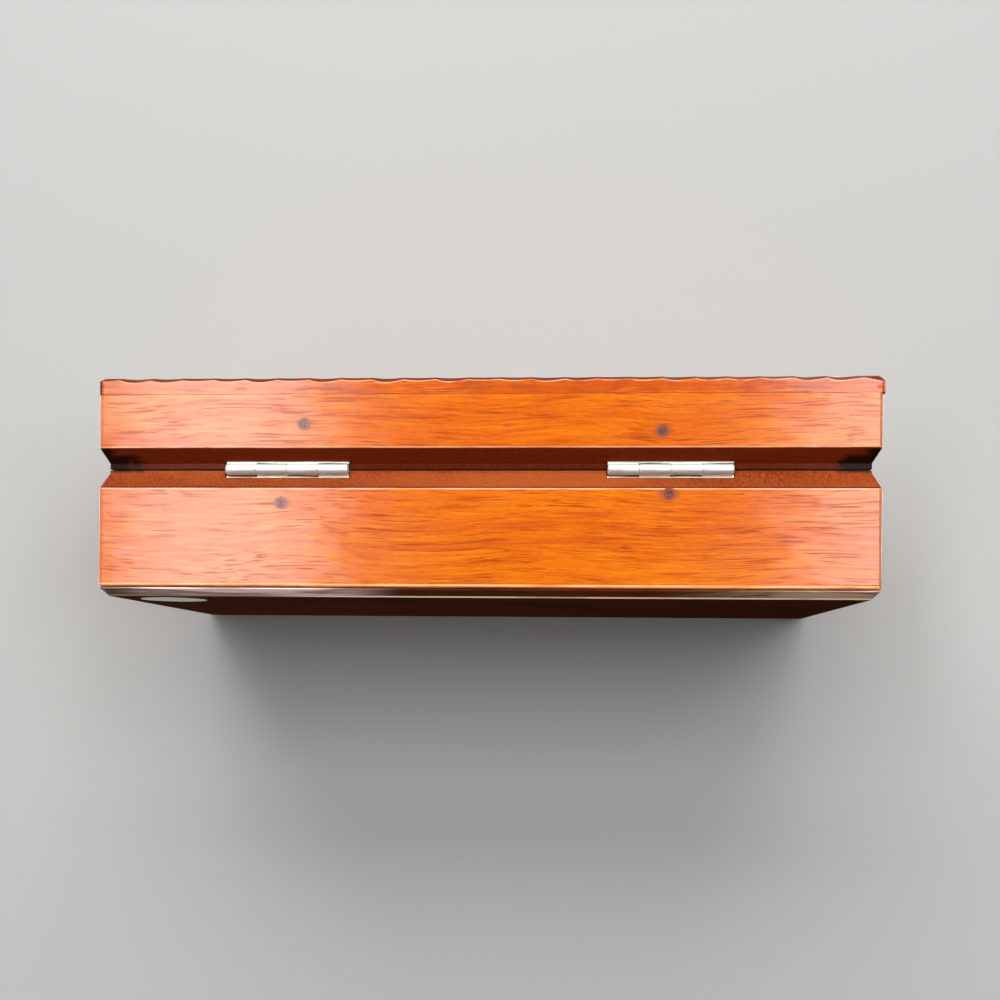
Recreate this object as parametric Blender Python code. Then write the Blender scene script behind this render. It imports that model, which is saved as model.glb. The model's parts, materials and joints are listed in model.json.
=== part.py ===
"""Carved wooden jewelry box: a mitred base and a hinged lid with a carved board on top.

Metres, +Z up. The box stands on its underside with the front towards -Y, the hinged back towards +Y,
and the origin under its centre. Profiles are drawn as (inset, height): how far a point lies inside
the box's outer faces, and how high it is above the underside.
"""

import math
from collections import namedtuple

import bmesh
import bpy
from mathutils import Matrix, Vector
from mathutils.geometry import delaunay_2d_cdt

MM = 0.001

# Overall box
BOX_LENGTH = 200 * MM
BOX_DEPTH = 100 * MM
BOX_HEIGHT = 56.6 * MM
WALL = 9 * MM
CORNER_RADIUS = 1.2 * MM
CORNER_STEPS = 4

# Boards above and below the walls
BOTTOM_THICKNESS = 2.2 * MM
BOTTOM_SETBACK = 0.35 * MM
BOTTOM_CHAMFER = 1.6 * MM
BOTTOM_ARRIS = 0.35 * MM
TOP_THICKNESS = 4.6 * MM

# Joint between base and lid, with the V groove round it
JOINT_HEIGHT = 32.8 * MM
JOINT_GAP = 0.4 * MM
GROOVE_DEPTH = 2.3 * MM
LID_LAND = 1.4 * MM
LID_CHAMFER = 3.8 * MM
BASE_LAND = 0.6 * MM
BASE_CHAMFER = 4.3 * MM
ARRIS = 0.3 * MM
INNER_ARRIS = 0.5 * MM
FOOT_ARRIS_HEIGHT = 1.2 * MM

# Clearances
GLUE_GAP = 0.2 * MM
METAL_GAP = 0.15 * MM
SWING_GAP = 0.25 * MM

# Hinges: two barrels in the groove, with leaves in kerfs in the back boards
RIGHT_HINGE_X = 51 * MM
LEFT_HINGE_X = -47.3 * MM
HINGE_LENGTH = 32 * MM
KNUCKLES = 4
KNUCKLE_RADIUS = 1.4 * MM
KNUCKLE_SIDES = 16
KNUCKLE_CHAMFER = 0.2 * MM
LEAF_THICKNESS = 0.8 * MM
KERF_COVER = 4.2 * MM
LEAF_STEP = 0.02 * MM
PIN_RADIUS = 0.7 * MM
PIN_SIDES = 12
ROOT_STRIP = 0.45 * MM

# Filled pin holes, each as (offset along the hinge, distance from the joint)
RIGHT_LID_PLUG = (-4.6 * MM, 11.4 * MM)
LEFT_LID_PLUG = (2.2 * MM, 9.5 * MM)
RIGHT_BASE_PLUG = (1.1 * MM, 8.8 * MM)
LEFT_BASE_PLUG = (0.5 * MM, 6.4 * MM)
PLUG_RADIUS = 1.5 * MM
PLUG_LENGTH = 1.6 * MM
PLUG_SIDES = 16

# Scalloped gouge border of the lid
SCALLOP_PITCH = 8.2 * MM
SCALLOP_DROP = 1.1 * MM
SCALLOP_DEPTH = 0.7 * MM
SCALLOP_RUN = 1.6 * MM
SCALLOP_REACH = 1.2 * MM
SCALLOP_SAMPLES = 4
CORNER_CUT_LENGTH = 5.7 * MM
CORNER_CUT_DEPTH = 1.2 * MM

# Sunk field of the lid and its carving
FIELD_MARGIN = 8.5 * MM
FIELD_DEPTH = 1.6 * MM
FIELD_SLOPE = 1.2 * MM
FIELD_CORNER = 8 * MM
FIELD_CORNER_STEPS = 4
STEM_WIDTH = 1.8 * MM
SPRAY_PAIRS = 6
FAN_LEAVES = 5
PETALS = 8
BUTTON_SIDES = 12

# Sizes of the carving, as shares of half the field's depth
ROSETTE_RADIUS = 0.54
SPRAY_LENGTH = 0.72
SPRAY_SHORTENING = 0.065
SPRAY_BEND = 0.045
BUD_LENGTH = 0.34
CORNER_FAN_LENGTH = 0.62
CORNER_FAN_SHORTENING = 0.05
CORNER_FAN_START = 0.13
SIDE_FAN_LENGTH = 0.3
SIDE_FAN_START = 0.06
SIDE_TENDRIL_LENGTH = 0.6
SIDE_TENDRIL_START = 0.1
SMALL_LEAF_WIDTH = 0.14

# Sizes of the rosette and where the sprays start, as shares of the rosette's radius
BUTTON_RADIUS = 0.25
PETAL_START = 0.27
PETAL_LENGTH = 0.73
PETAL_WIDTH = 0.56
SEPAL_START = 0.74
SEPAL_LENGTH = 0.36
SEPAL_WIDTH = 0.2
SPRAY_START = 1.15

# Where the stems end, as a share of half the field's length, and the leaves' width over their pitch
SPRAY_END = 0.79
SPRAY_LEAF_WIDTH = 0.82

# Angles of the carving, in degrees
SPRAY_ANGLE = 54
SPRAY_ANGLE_STEP = 2
CORNER_FAN_SPREAD = 74
SIDE_FAN_SPREAD = 100
SIDE_TENDRIL_ANGLE = 76

# Section of a carved leaf: places as shares of its half width, heights as shares of its own height
LEAF_SHOULDER = 0.82
LEAF_CREST = 0.42
LEAF_SHOULDER_HEIGHT = 0.8
LEAF_RIB_HEIGHT = 0.55
LEAF_TAPER = 0.5
LEAF_STATIONS = 6
SMALL_LEAF_STATIONS = 5

# Height of each kind of carving, as a share of the field's depth
PETAL_HEIGHT = 0.95
LEAF_HEIGHT = 0.9
STEM_HEIGHT = 0.6

HALF_LENGTH = BOX_LENGTH / 2
HALF_DEPTH = BOX_DEPTH / 2
BASE_FLOOR = BOTTOM_THICKNESS + GLUE_GAP
BASE_TOP = JOINT_HEIGHT - JOINT_GAP / 2
LID_BOTTOM = JOINT_HEIGHT + JOINT_GAP / 2
BOARD_BOTTOM = BOX_HEIGHT - TOP_THICKNESS
RAIL_TOP = BOARD_BOTTOM - GLUE_GAP
LEAF_FRONT = HALF_DEPTH - GROOVE_DEPTH
LEAF_BACK = LEAF_FRONT - LEAF_THICKNESS
AXIS_Y = LEAF_BACK + KNUCKLE_RADIUS
NOTCH = KNUCKLE_RADIUS + SWING_GAP
POCKET = NOTCH + ROOT_STRIP
LEAF_REACH = RAIL_TOP - JOINT_HEIGHT - KERF_COVER

Leaf = namedtuple("Leaf", "x y angle length width bend height belly fullness")


# Scene helpers


def clear_scene():
    for old in list(bpy.data.objects):
        bpy.data.objects.remove(old, do_unlink=True)


def make_material(name, color, roughness, metallic=0.0):
    material = bpy.data.materials.new(name)
    material.use_nodes = True
    shader = material.node_tree.nodes["Principled BSDF"]
    shader.inputs["Base Color"].default_value = (*color, 1.0)
    shader.inputs["Roughness"].default_value = roughness
    shader.inputs["Metallic"].default_value = metallic
    material.diffuse_color = (*color, 1.0)
    return material


def add_object(name, mesh, material, parent=None, matrix=None):
    """Links a new object whose place in the world is matrix, riding on parent."""
    obj = bpy.data.objects.new(name, mesh)
    bpy.context.scene.collection.objects.link(obj)
    if material:
        mesh.materials.append(material)
    if parent:
        obj.parent = parent
        obj.matrix_parent_inverse = parent.matrix_world.inverted()
    obj.matrix_world = matrix or Matrix.Identity(4)
    return obj


def add_empty(name, location):
    empty = bpy.data.objects.new(name, None)
    empty.location = location
    bpy.context.scene.collection.objects.link(empty)
    bpy.context.view_layer.update()
    return empty


def mesh_from(name, bm):
    bmesh.ops.remove_doubles(bm, verts=bm.verts, dist=0.001 * MM)
    bmesh.ops.recalc_face_normals(bm, faces=bm.faces)
    mesh = bpy.data.meshes.new(name)
    bm.to_mesh(mesh)
    bm.free()
    return mesh


def shade_round(mesh):
    mesh.shade_smooth()
    mesh.set_sharp_from_angle(angle=math.radians(35))


def loft(bm, rings):
    """Joins rings of equal length one after another and closes both ends."""
    rows = [[bm.verts.new(point) for point in ring] for ring in rings]
    count = len(rows[0])
    for row, after in zip(rows, rows[1:]):
        for i in range(count):
            j = (i + 1) % count
            bm.faces.new((row[i], row[j], after[j], after[i]))
    bm.faces.new(rows[0])
    bm.faces.new(reversed(rows[-1]))


def prism_x(name, outline, x_low, x_high):
    """A prism along X from an outline of (y, z) points."""
    bm = bmesh.new()
    loft(bm, [[(x, y, z) for y, z in outline] for x in (x_low, x_high)])
    return mesh_from(name, bm)


def turned(name, profile, sides, along):
    """A solid turned about an axis through the origin, from (distance along, radius) points."""
    bm = bmesh.new()
    rings = [
        [
            (distance, radius * math.cos(turn), radius * math.sin(turn))
            for turn in (2 * math.pi * i / sides for i in range(sides))
        ]
        for distance, radius in profile
    ]
    loft(bm, rings)
    mesh = mesh_from(name, bm)
    mesh.transform(Vector((1, 0, 0)).rotation_difference(Vector(along)).to_matrix().to_4x4())
    shade_round(mesh)
    return mesh


def add_cutter(name, mesh, matrix=None):
    cutter = add_object(name, mesh, None, None, matrix)
    cutter.hide_render = True
    cutter.display_type = "WIRE"
    return cutter


def boolean(obj, other, operation="DIFFERENCE"):
    modifier = obj.modifiers.new(other.name, "BOOLEAN")
    modifier.operation = operation
    modifier.solver = "EXACT"
    modifier.object = other


# Mitred walls


def rounded_arris(corner, before, after, size):
    """Three points that round a corner of a profile off by size."""
    corner = Vector(corner)
    start = corner + (Vector(before) - corner).normalized() * size
    end = corner + (Vector(after) - corner).normalized() * size
    middle = (start + end) / 2 * 0.5 + corner * 0.5
    return [tuple(start), tuple(middle), tuple(end)]


def base_wall_profile():
    edge = BASE_TOP - BASE_LAND - BASE_CHAMFER
    land = BASE_TOP - BASE_LAND
    foot = [
        (
            BOTTOM_SETBACK * (1 - math.cos(turn)),
            BASE_FLOOR + FOOT_ARRIS_HEIGHT * (1 - math.sin(turn)),
        )
        for turn in (math.pi / 2 * i / 4 for i in range(5))
    ]
    return (
        [(WALL, BASE_FLOOR)]
        + foot[::-1]
        + rounded_arris((0, edge), (0, BASE_FLOOR), (GROOVE_DEPTH, land), ARRIS)
        + [(GROOVE_DEPTH, land), (GROOVE_DEPTH, BASE_TOP)]
        + [(WALL - INNER_ARRIS, BASE_TOP), (WALL, BASE_TOP - INNER_ARRIS)]
    )


def lid_rail_profile():
    land = LID_BOTTOM + LID_LAND
    edge = land + LID_CHAMFER
    return (
        [(WALL, LID_BOTTOM + INNER_ARRIS), (WALL - INNER_ARRIS, LID_BOTTOM)]
        + [(GROOVE_DEPTH, LID_BOTTOM), (GROOVE_DEPTH, land)]
        + rounded_arris((0, edge), (GROOVE_DEPTH, land), (0, RAIL_TOP), ARRIS)
        + [(0, RAIL_TOP), (WALL, RAIL_TOP)]
    )


def mitred_ring(profile, half_run, share, side):
    """One ring of a wall whose outer face lies in y = 0, near its end at x = side * half_run.

    share runs from 0, where the face starts to turn into the rounded corner, to 1 at the mitre.
    """
    gap = GLUE_GAP / 2
    ring = []
    for inset, height in profile:
        radius = CORNER_RADIUS - inset
        if radius > gap:
            turn = (math.pi / 4 - math.asin(gap / radius)) * share
            x = half_run - CORNER_RADIUS + radius * math.sin(turn)
            y = CORNER_RADIUS - radius * math.cos(turn)
        else:
            x = half_run - inset - gap * math.sqrt(2)
            y = inset
        ring.append((side * x, y, height))
    return ring


def mitred_wall(name, profile, half_run, material, parent, matrix):
    shares = [i / CORNER_STEPS for i in range(CORNER_STEPS + 1)]
    rings = [mitred_ring(profile, half_run, share, -1) for share in reversed(shares)]
    rings += [mitred_ring(profile, half_run, share, 1) for share in shares]
    bm = bmesh.new()
    loft(bm, rings)
    mesh = mesh_from(name, bm)
    shade_round(mesh)
    return add_object(name, mesh, material, parent, matrix)


def wall_places():
    """Each side's name, half the run of its outer face, and the matrix that puts it there."""
    sides = (
        ("front", HALF_LENGTH, HALF_DEPTH),
        ("right", HALF_DEPTH, HALF_LENGTH),
        ("back", HALF_LENGTH, HALF_DEPTH),
        ("left", HALF_DEPTH, HALF_LENGTH),
    )
    return [
        (side, half_run, Matrix.Rotation(math.pi / 2 * i, 4, "Z") @ Matrix.Translation((0, -out, 0)))
        for i, (side, half_run, out) in enumerate(sides)
    ]


def make_walls(body, piece, profile, material, parent):
    walls = {}
    for side, half_run, matrix in wall_places():
        walls[side] = mitred_wall(f"{body}_{side}_{piece}", profile, half_run, material, parent, matrix)
    return walls


# Bottom board


def rounded_outline(inset):
    """The box's outline moved inwards, with its corners rounded."""
    radius = max(CORNER_RADIUS - inset, 0.1 * MM)
    corner_x = HALF_LENGTH - inset - radius
    corner_y = HALF_DEPTH - inset - radius
    points = []
    for quarter, (sx, sy) in enumerate(((1, 1), (-1, 1), (-1, -1), (1, -1))):
        for i in range(CORNER_STEPS + 1):
            turn = math.pi / 2 * (quarter + i / CORNER_STEPS)
            x = sx * corner_x + radius * math.cos(turn)
            y = sy * corner_y + radius * math.sin(turn)
            points.append((x, y))
    return points


def make_bottom_board(material, parent):
    under = BOTTOM_SETBACK + BOTTOM_CHAMFER
    profile = (
        (BOTTOM_SETBACK, BOTTOM_THICKNESS),
        (BOTTOM_SETBACK, BOTTOM_THICKNESS - BOTTOM_ARRIS),
        (under, BOTTOM_ARRIS),
        (under + BOTTOM_ARRIS, 0),
    )
    bm = bmesh.new()
    loft(bm, [[(x, y, z) for x, y in rounded_outline(inset)] for inset, z in profile])
    mesh = mesh_from("bottom_board", bm)
    shade_round(mesh)
    return add_object("bottom_board", mesh, material, parent)


# Hinges


def knuckle_spans(x_centre):
    """The (low, high) X of each knuckle, from the box's right to its left, with gaps between them."""
    pitch = (HINGE_LENGTH + SWING_GAP) / KNUCKLES
    start = x_centre + HINGE_LENGTH / 2
    return [(start - i * pitch - (pitch - SWING_GAP), start - i * pitch) for i in range(KNUCKLES)]


def knuckle_mesh(length):
    chamfered = KNUCKLE_RADIUS - KNUCKLE_CHAMFER
    profile = (
        (0, chamfered),
        (KNUCKLE_CHAMFER, KNUCKLE_RADIUS),
        (length - KNUCKLE_CHAMFER, KNUCKLE_RADIUS),
        (length, chamfered),
    )
    return turned("knuckle", profile, KNUCKLE_SIDES, (1, 0, 0))


def leaf_plate(name, x_centre, spans, up):
    """The flat part of a leaf: it reaches the barrel at its own knuckles, and is notched at the others."""
    low = x_centre - HINGE_LENGTH / 2
    high = x_centre + HINGE_LENGTH / 2
    outline = [(low, LEAF_REACH), (high, LEAF_REACH)]
    for i, (span_low, span_high) in enumerate(spans):
        own = (i % 2 == 0) == up
        rise = 0 if own else NOTCH
        grow = 0 if own else SWING_GAP
        outline.append((min(span_high + grow, high), rise))
        outline.append((max(span_low - grow, low), rise))
    turn = 1 if up else -1
    bm = bmesh.new()
    faces_y = (LEAF_BACK + LEAF_STEP, LEAF_FRONT)
    loft(bm, [[(x, y, JOINT_HEIGHT + turn * z) for x, z in outline] for y in faces_y])
    return mesh_from(name, bm)


def make_leaf(name, x_centre, up, material, parent):
    """One hinge leaf: the lid's carries the first and third knuckles, the base's the others."""
    spans = knuckle_spans(x_centre)
    leaf = add_object(name, leaf_plate(name, x_centre, spans, up), material, parent)
    for i, (low, high) in enumerate(spans):
        if (i % 2 == 0) != up:
            continue
        place = Matrix.Translation((low, AXIS_Y, JOINT_HEIGHT))
        knuckle = add_cutter(f"{name}_knuckle_{i + 1}", knuckle_mesh(high - low), place)
        boolean(leaf, knuckle, "UNION")
    bore_radius = PIN_RADIUS + METAL_GAP
    reach = HINGE_LENGTH / 2 + 1 * MM
    bore = turned("bore", ((-reach, bore_radius), (reach, bore_radius)), KNUCKLE_SIDES, (1, 0, 0))
    place = Matrix.Translation((x_centre, AXIS_Y, JOINT_HEIGHT))
    boolean(leaf, add_cutter(f"{name}_bore", bore, place))
    return leaf


def make_pin(name, x_centre, material, parent):
    half = HINGE_LENGTH / 2
    chamfer = PIN_RADIUS / 3
    profile = (
        (-half, PIN_RADIUS - chamfer),
        (-half + chamfer, PIN_RADIUS),
        (half - chamfer, PIN_RADIUS),
        (half, PIN_RADIUS - chamfer),
    )
    mesh = turned(name, profile, PIN_SIDES, (1, 0, 0))
    return add_object(name, mesh, material, parent, Matrix.Translation((x_centre, AXIS_Y, JOINT_HEIGHT)))


def cut_hinge_seat(board, name, x_centre, up):
    """Cuts the pocket for the barrel and the kerf for the leaf into one of the back boards."""
    back = LEAF_BACK - METAL_GAP
    front = LEAF_FRONT + METAL_GAP
    outside = HALF_DEPTH + 1 * MM
    outline = (
        (back, -2 * JOINT_GAP),
        (outside, -2 * JOINT_GAP),
        (outside, POCKET),
        (front, POCKET),
        (front, LEAF_REACH + SWING_GAP),
        (back, LEAF_REACH + SWING_GAP),
    )
    turn = 1 if up else -1
    half = HINGE_LENGTH / 2 + SWING_GAP
    points = [(y, JOINT_HEIGHT + turn * z) for y, z in outline]
    mesh = prism_x(name, points, x_centre - half, x_centre + half)
    boolean(board, add_cutter(name, mesh))


def add_plug(board, name, x, z, material, parent):
    """A filled pin hole: a short round plug flush with the back face, in a blind hole."""
    hole_radius = PLUG_RADIUS + METAL_GAP
    hole_depth = PLUG_LENGTH + METAL_GAP
    place = Matrix.Translation((x, HALF_DEPTH, z))
    hole = turned("hole", ((-hole_depth, hole_radius), (1 * MM, hole_radius)), PLUG_SIDES, (0, 1, 0))
    boolean(board, add_cutter(f"{name}_hole", hole, place))
    plug = turned(name, ((-PLUG_LENGTH, PLUG_RADIUS), (0, PLUG_RADIUS)), PLUG_SIDES, (0, 1, 0))
    return add_object(name, plug, material, parent, place)


def make_hinge(side, x_centre, boards, parents, plugs, metal, filler):
    for up, body in ((True, "lid"), (False, "base")):
        make_leaf(f"{side}_hinge_{body}_leaf", x_centre, up, metal, parents[body])
        cut_hinge_seat(boards[body], f"{side}_{body}_hinge_seat", x_centre, up)
        offset, distance = plugs[body]
        height = JOINT_HEIGHT + distance if up else JOINT_HEIGHT - distance
        add_plug(boards[body], f"{side}_{body}_plug", x_centre + offset, height, filler, parents[body])
    make_pin(f"{side}_hinge_pin", x_centre, metal, parents["base"])


# Carved leaves: each is a lens shape on a bent midrib, with a shoulder, a crest and a sunk rib


def leaf_half_width(leaf, t):
    wave = math.sin(math.pi * min(max(t, 0.0), 1.0) ** leaf.belly)
    return leaf.width / 2 * max(wave, 0.0) ** leaf.fullness


def leaf_point(leaf, t, q):
    """The place on the lid of a point t along the leaf and q of its half width to one side."""
    along = t * leaf.length
    aside = q * leaf_half_width(leaf, t) + leaf.bend * math.sin(math.pi * t)
    cos, sin = math.cos(leaf.angle), math.sin(leaf.angle)
    return (leaf.x + along * cos - aside * sin, leaf.y + along * sin + aside * cos)


def leaf_height(leaf, x, y):
    """How high the leaf stands above the field's floor at a place on the lid."""
    cos, sin = math.cos(leaf.angle), math.sin(leaf.angle)
    t = ((x - leaf.x) * cos + (y - leaf.y) * sin) / leaf.length
    if not 0 < t < 1:
        return 0.0
    half = leaf_half_width(leaf, t)
    aside = (y - leaf.y) * cos - (x - leaf.x) * sin - leaf.bend * math.sin(math.pi * t)
    if abs(aside) >= half:
        return 0.0
    q = abs(aside) / half
    if q > LEAF_SHOULDER:
        profile = LEAF_SHOULDER_HEIGHT * (1 - q) / (1 - LEAF_SHOULDER)
    elif q > LEAF_CREST:
        share = (LEAF_SHOULDER - q) / (LEAF_SHOULDER - LEAF_CREST)
        profile = LEAF_SHOULDER_HEIGHT + (1 - LEAF_SHOULDER_HEIGHT) * share
    else:
        profile = LEAF_RIB_HEIGHT + (1 - LEAF_RIB_HEIGHT) * q / LEAF_CREST
    taper = min(1.0, half / (LEAF_TAPER * leaf.width / 2))
    return leaf.height * profile * taper


def leaf_lines(leaf):
    """The outline as a closed loop, then lines along the leaf where its slope changes."""
    across = [-LEAF_SHOULDER, 0, LEAF_SHOULDER]
    stations = SMALL_LEAF_STATIONS
    if leaf.width > 1.1 * SMALL_LEAF_WIDTH * field_half()[1]:
        across += [-LEAF_CREST, LEAF_CREST]
        stations = LEAF_STATIONS
    steps = [i / stations for i in range(stations + 1)]
    loop = [leaf_point(leaf, t, -1) for t in steps] + [leaf_point(leaf, t, 1) for t in steps[-2:0:-1]]
    return loop, [[leaf_point(leaf, t, q) for t in steps[1:-1]] for q in across]


def pointed_leaf(x, y, degrees, length, width, bend=0.0):
    return Leaf(x, y, math.radians(degrees), length, width, bend, LEAF_HEIGHT * FIELD_DEPTH, 0.75, 0.9)


def round_petal(x, y, degrees, length, width):
    return Leaf(x, y, math.radians(degrees), length, width, 0.0, PETAL_HEIGHT * FIELD_DEPTH, 1.5, 0.6)


def polar(x, y, degrees, distance):
    turn = math.radians(degrees)
    return x + distance * math.cos(turn), y + distance * math.sin(turn)


def field_half():
    """Half the sunk field's length and depth."""
    return HALF_LENGTH - FIELD_MARGIN, HALF_DEPTH - FIELD_MARGIN


def rosette_radius():
    return ROSETTE_RADIUS * field_half()[1]


def spray_tip():
    """Where each arm's stem ends and its bud starts."""
    return SPRAY_END * field_half()[0]


def rosette_leaves():
    radius = rosette_radius()
    leaves = []
    for i in range(PETALS):
        turn = 360 / PETALS * i
        place = polar(0, 0, turn, PETAL_START * radius)
        leaves.append(round_petal(*place, turn, PETAL_LENGTH * radius, PETAL_WIDTH * radius))
        between = turn + 180 / PETALS
        place = polar(0, 0, between, SEPAL_START * radius)
        leaves.append(pointed_leaf(*place, between, SEPAL_LENGTH * radius, SEPAL_WIDTH * radius))
    return leaves


def spray_leaves():
    """Leaves in pairs along both arms of the long axis, shorter towards the bud at each end."""
    unit = field_half()[1]
    start = SPRAY_START * rosette_radius()
    pitch = (spray_tip() - start) / SPRAY_PAIRS
    width = SPRAY_LEAF_WIDTH * pitch
    leaves = []
    for facing, arm in ((1, 0), (-1, 180)):
        for i in range(SPRAY_PAIRS):
            length = unit * (SPRAY_LENGTH - SPRAY_SHORTENING * i)
            for side in (facing, -facing):
                degrees = arm + side * (SPRAY_ANGLE - SPRAY_ANGLE_STEP * i)
                root = polar(facing * (start + i * pitch), 0, degrees, STEM_WIDTH / 2)
                leaves.append(pointed_leaf(*root, degrees, length, width, -side * SPRAY_BEND * unit))
        leaves.append(pointed_leaf(facing * spray_tip(), 0, arm, BUD_LENGTH * unit, width))
    return leaves


def fan(x, y, facing, spreads, lengths, start):
    """Small leaves that spread from one point, each turned from the facing direction by its spread."""
    unit = field_half()[1]
    leaves = []
    for spread, length in zip(spreads, lengths):
        degrees = facing + spread
        place = polar(x, y, degrees, start * unit)
        leaves.append(pointed_leaf(*place, degrees, length * unit, SMALL_LEAF_WIDTH * unit))
    return leaves


def fan_leaves():
    """A fan in each corner of the field, and a small one with tendrils in the middle of each long side."""
    field_x, field_y = field_half()
    inwards = (FIELD_CORNER + FIELD_SLOPE) * (math.sqrt(2) - 1) * math.sqrt(2)
    steps = [i / (FAN_LEAVES - 1) - 0.5 for i in range(FAN_LEAVES)]
    leaves = []
    for sx in (1, -1):
        for sy in (1, -1):
            middle = math.degrees(math.atan2(-sy, -sx))
            spreads = [sx * sy * CORNER_FAN_SPREAD * step for step in steps]
            lengths = [CORNER_FAN_LENGTH - CORNER_FAN_SHORTENING * i for i in range(FAN_LEAVES)]
            place = (sx * (field_x - inwards), sy * (field_y - inwards))
            leaves += fan(*place, middle, spreads, lengths, CORNER_FAN_START)
    for sy in (1, -1):
        place = (0, sy * (field_y - FIELD_SLOPE))
        spreads = [SIDE_FAN_SPREAD * step for step in steps]
        leaves += fan(*place, -90 * sy, spreads, [SIDE_FAN_LENGTH] * FAN_LEAVES, SIDE_FAN_START)
        spreads = (-SIDE_TENDRIL_ANGLE, SIDE_TENDRIL_ANGLE)
        leaves += fan(*place, -90 * sy, spreads, [SIDE_TENDRIL_LENGTH] * 2, SIDE_TENDRIL_START)
    return leaves


def button_height(x, y):
    """The round boss in the middle of the rosette."""
    share = math.hypot(x, y) / (BUTTON_RADIUS * rosette_radius())
    return PETAL_HEIGHT * FIELD_DEPTH * math.sqrt(1 - share * share) if share < 1 else 0.0


def button_lines():
    radius = BUTTON_RADIUS * rosette_radius()
    turns = [360 * i / BUTTON_SIDES for i in range(BUTTON_SIDES)]
    return [[polar(0, 0, turn, share * radius) for turn in turns] for share in (1, 0.92, 0.6)]


def stem_height(x, y):
    """A low stem along each arm of the spray."""
    half = STEM_WIDTH / 2
    if not rosette_radius() < abs(x) < spray_tip() or abs(y) >= half:
        return 0.0
    return STEM_HEIGHT * FIELD_DEPTH * min(1.0, 2 * (1 - abs(y) / half))


def stem_lines():
    lines = []
    for facing in (1, -1):
        for share in (-1, -0.5, 0.5, 1):
            y = share * STEM_WIDTH / 2
            lines.append([(facing * rosette_radius(), y), (facing * spray_tip(), y)])
    return lines


# Carved board: heights over the lid's plan, and the lines that its faces follow


def scallop_pitch(half_side):
    run = 2 * (half_side - CORNER_CUT_LENGTH)
    return run / max(1, round(run / SCALLOP_PITCH))


def scallop(half_side, from_corner):
    """How far the border drops at the arris, and how far in it starts, at a place along a side."""
    if from_corner < CORNER_CUT_LENGTH:
        fade = 0.5 + 0.5 * math.cos(math.pi * max(from_corner, 0.0) / CORNER_CUT_LENGTH)
        return SCALLOP_DROP + CORNER_CUT_DEPTH * fade, SCALLOP_RUN
    phase = math.pi * (from_corner - CORNER_CUT_LENGTH) / scallop_pitch(half_side)
    wave = math.sin(phase)
    return SCALLOP_DROP + SCALLOP_DEPTH * wave * wave, SCALLOP_RUN + SCALLOP_REACH * abs(wave)


def border_drop(x, y):
    """How far the gouge-cut border lies below the lid's top."""
    inset_x = HALF_LENGTH - abs(x)
    inset_y = HALF_DEPTH - abs(y)
    if inset_y < inset_x:
        inset, drop_run = inset_y, scallop(HALF_LENGTH, inset_x)
    else:
        inset, drop_run = inset_x, scallop(HALF_DEPTH, inset_y)
    drop, run = drop_run
    return drop * max(0.0, 1 - max(inset, 0.0) / run)


def field_inset(x, y):
    """How far a place lies inside the field's outline, which has hollow corners."""
    half_x, half_y = field_half()
    away_x = half_x - abs(x)
    away_y = half_y - abs(y)
    return min(away_x, away_y, math.hypot(away_x, away_y) - FIELD_CORNER)


def relief_height(x, y, leaves):
    sunk = FIELD_DEPTH * min(max(field_inset(x, y) / FIELD_SLOPE, 0.0), 1.0)
    if sunk == 0:
        return BOX_HEIGHT - border_drop(x, y)
    raised = max(button_height(x, y), stem_height(x, y), *(leaf_height(leaf, x, y) for leaf in leaves))
    return BOX_HEIGHT - max(sunk - raised, 0.0)


def border_stations(half_side):
    """Places along half a side that catch each scallop's crest and trough."""
    pitch = scallop_pitch(half_side)
    span = half_side - CORNER_CUT_LENGTH
    step = pitch / SCALLOP_SAMPLES
    places = [span - i * step for i in range(int(span / step + 0.999))]
    places = [place for place in places if place > 0.25 * step]
    return sorted(places) + [span + CORNER_CUT_LENGTH * share for share in (0.3, 0.6, 0.85)]


def full_stations(half_side, limit):
    half = [place for place in border_stations(half_side) if place < limit]
    return [-place for place in reversed(half)] + half


def lid_outline():
    """The board's outer edge, anticlockwise, with rounded corners."""
    straight_x = HALF_LENGTH - CORNER_RADIUS
    straight_y = HALF_DEPTH - CORNER_RADIUS
    sides = (
        [(place, -HALF_DEPTH) for place in full_stations(HALF_LENGTH, straight_x)],
        [(HALF_LENGTH, place) for place in full_stations(HALF_DEPTH, straight_y)],
        [(-place, HALF_DEPTH) for place in full_stations(HALF_LENGTH, straight_x)],
        [(-HALF_LENGTH, -place) for place in full_stations(HALF_DEPTH, straight_y)],
    )
    corners = ((1, -1), (1, 1), (-1, 1), (-1, -1))
    points = []
    for quarter, (side, (sx, sy)) in enumerate(zip(sides, corners)):
        points += side
        for i in range(CORNER_STEPS + 1):
            degrees = 90 * (quarter - 1 + i / CORNER_STEPS)
            points.append(polar(sx * straight_x, sy * straight_y, degrees, CORNER_RADIUS))
    return points


def border_loop():
    """The line where the gouge cuts start on the lid's flat rim."""

    def inner(half_side):
        stations = full_stations(half_side, half_side - SCALLOP_RUN)
        return [(place, scallop(half_side, half_side - abs(place))[1]) for place in stations]

    corner_x = HALF_LENGTH - SCALLOP_RUN
    corner_y = HALF_DEPTH - SCALLOP_RUN
    points = [(place, -HALF_DEPTH + run) for place, run in inner(HALF_LENGTH)] + [(corner_x, -corner_y)]
    points += [(HALF_LENGTH - run, place) for place, run in inner(HALF_DEPTH)] + [(corner_x, corner_y)]
    points += [(-place, HALF_DEPTH - run) for place, run in inner(HALF_LENGTH)] + [(-corner_x, corner_y)]
    points += [(-HALF_LENGTH + run, -place) for place, run in inner(HALF_DEPTH)] + [(-corner_x, -corner_y)]
    return points


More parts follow.
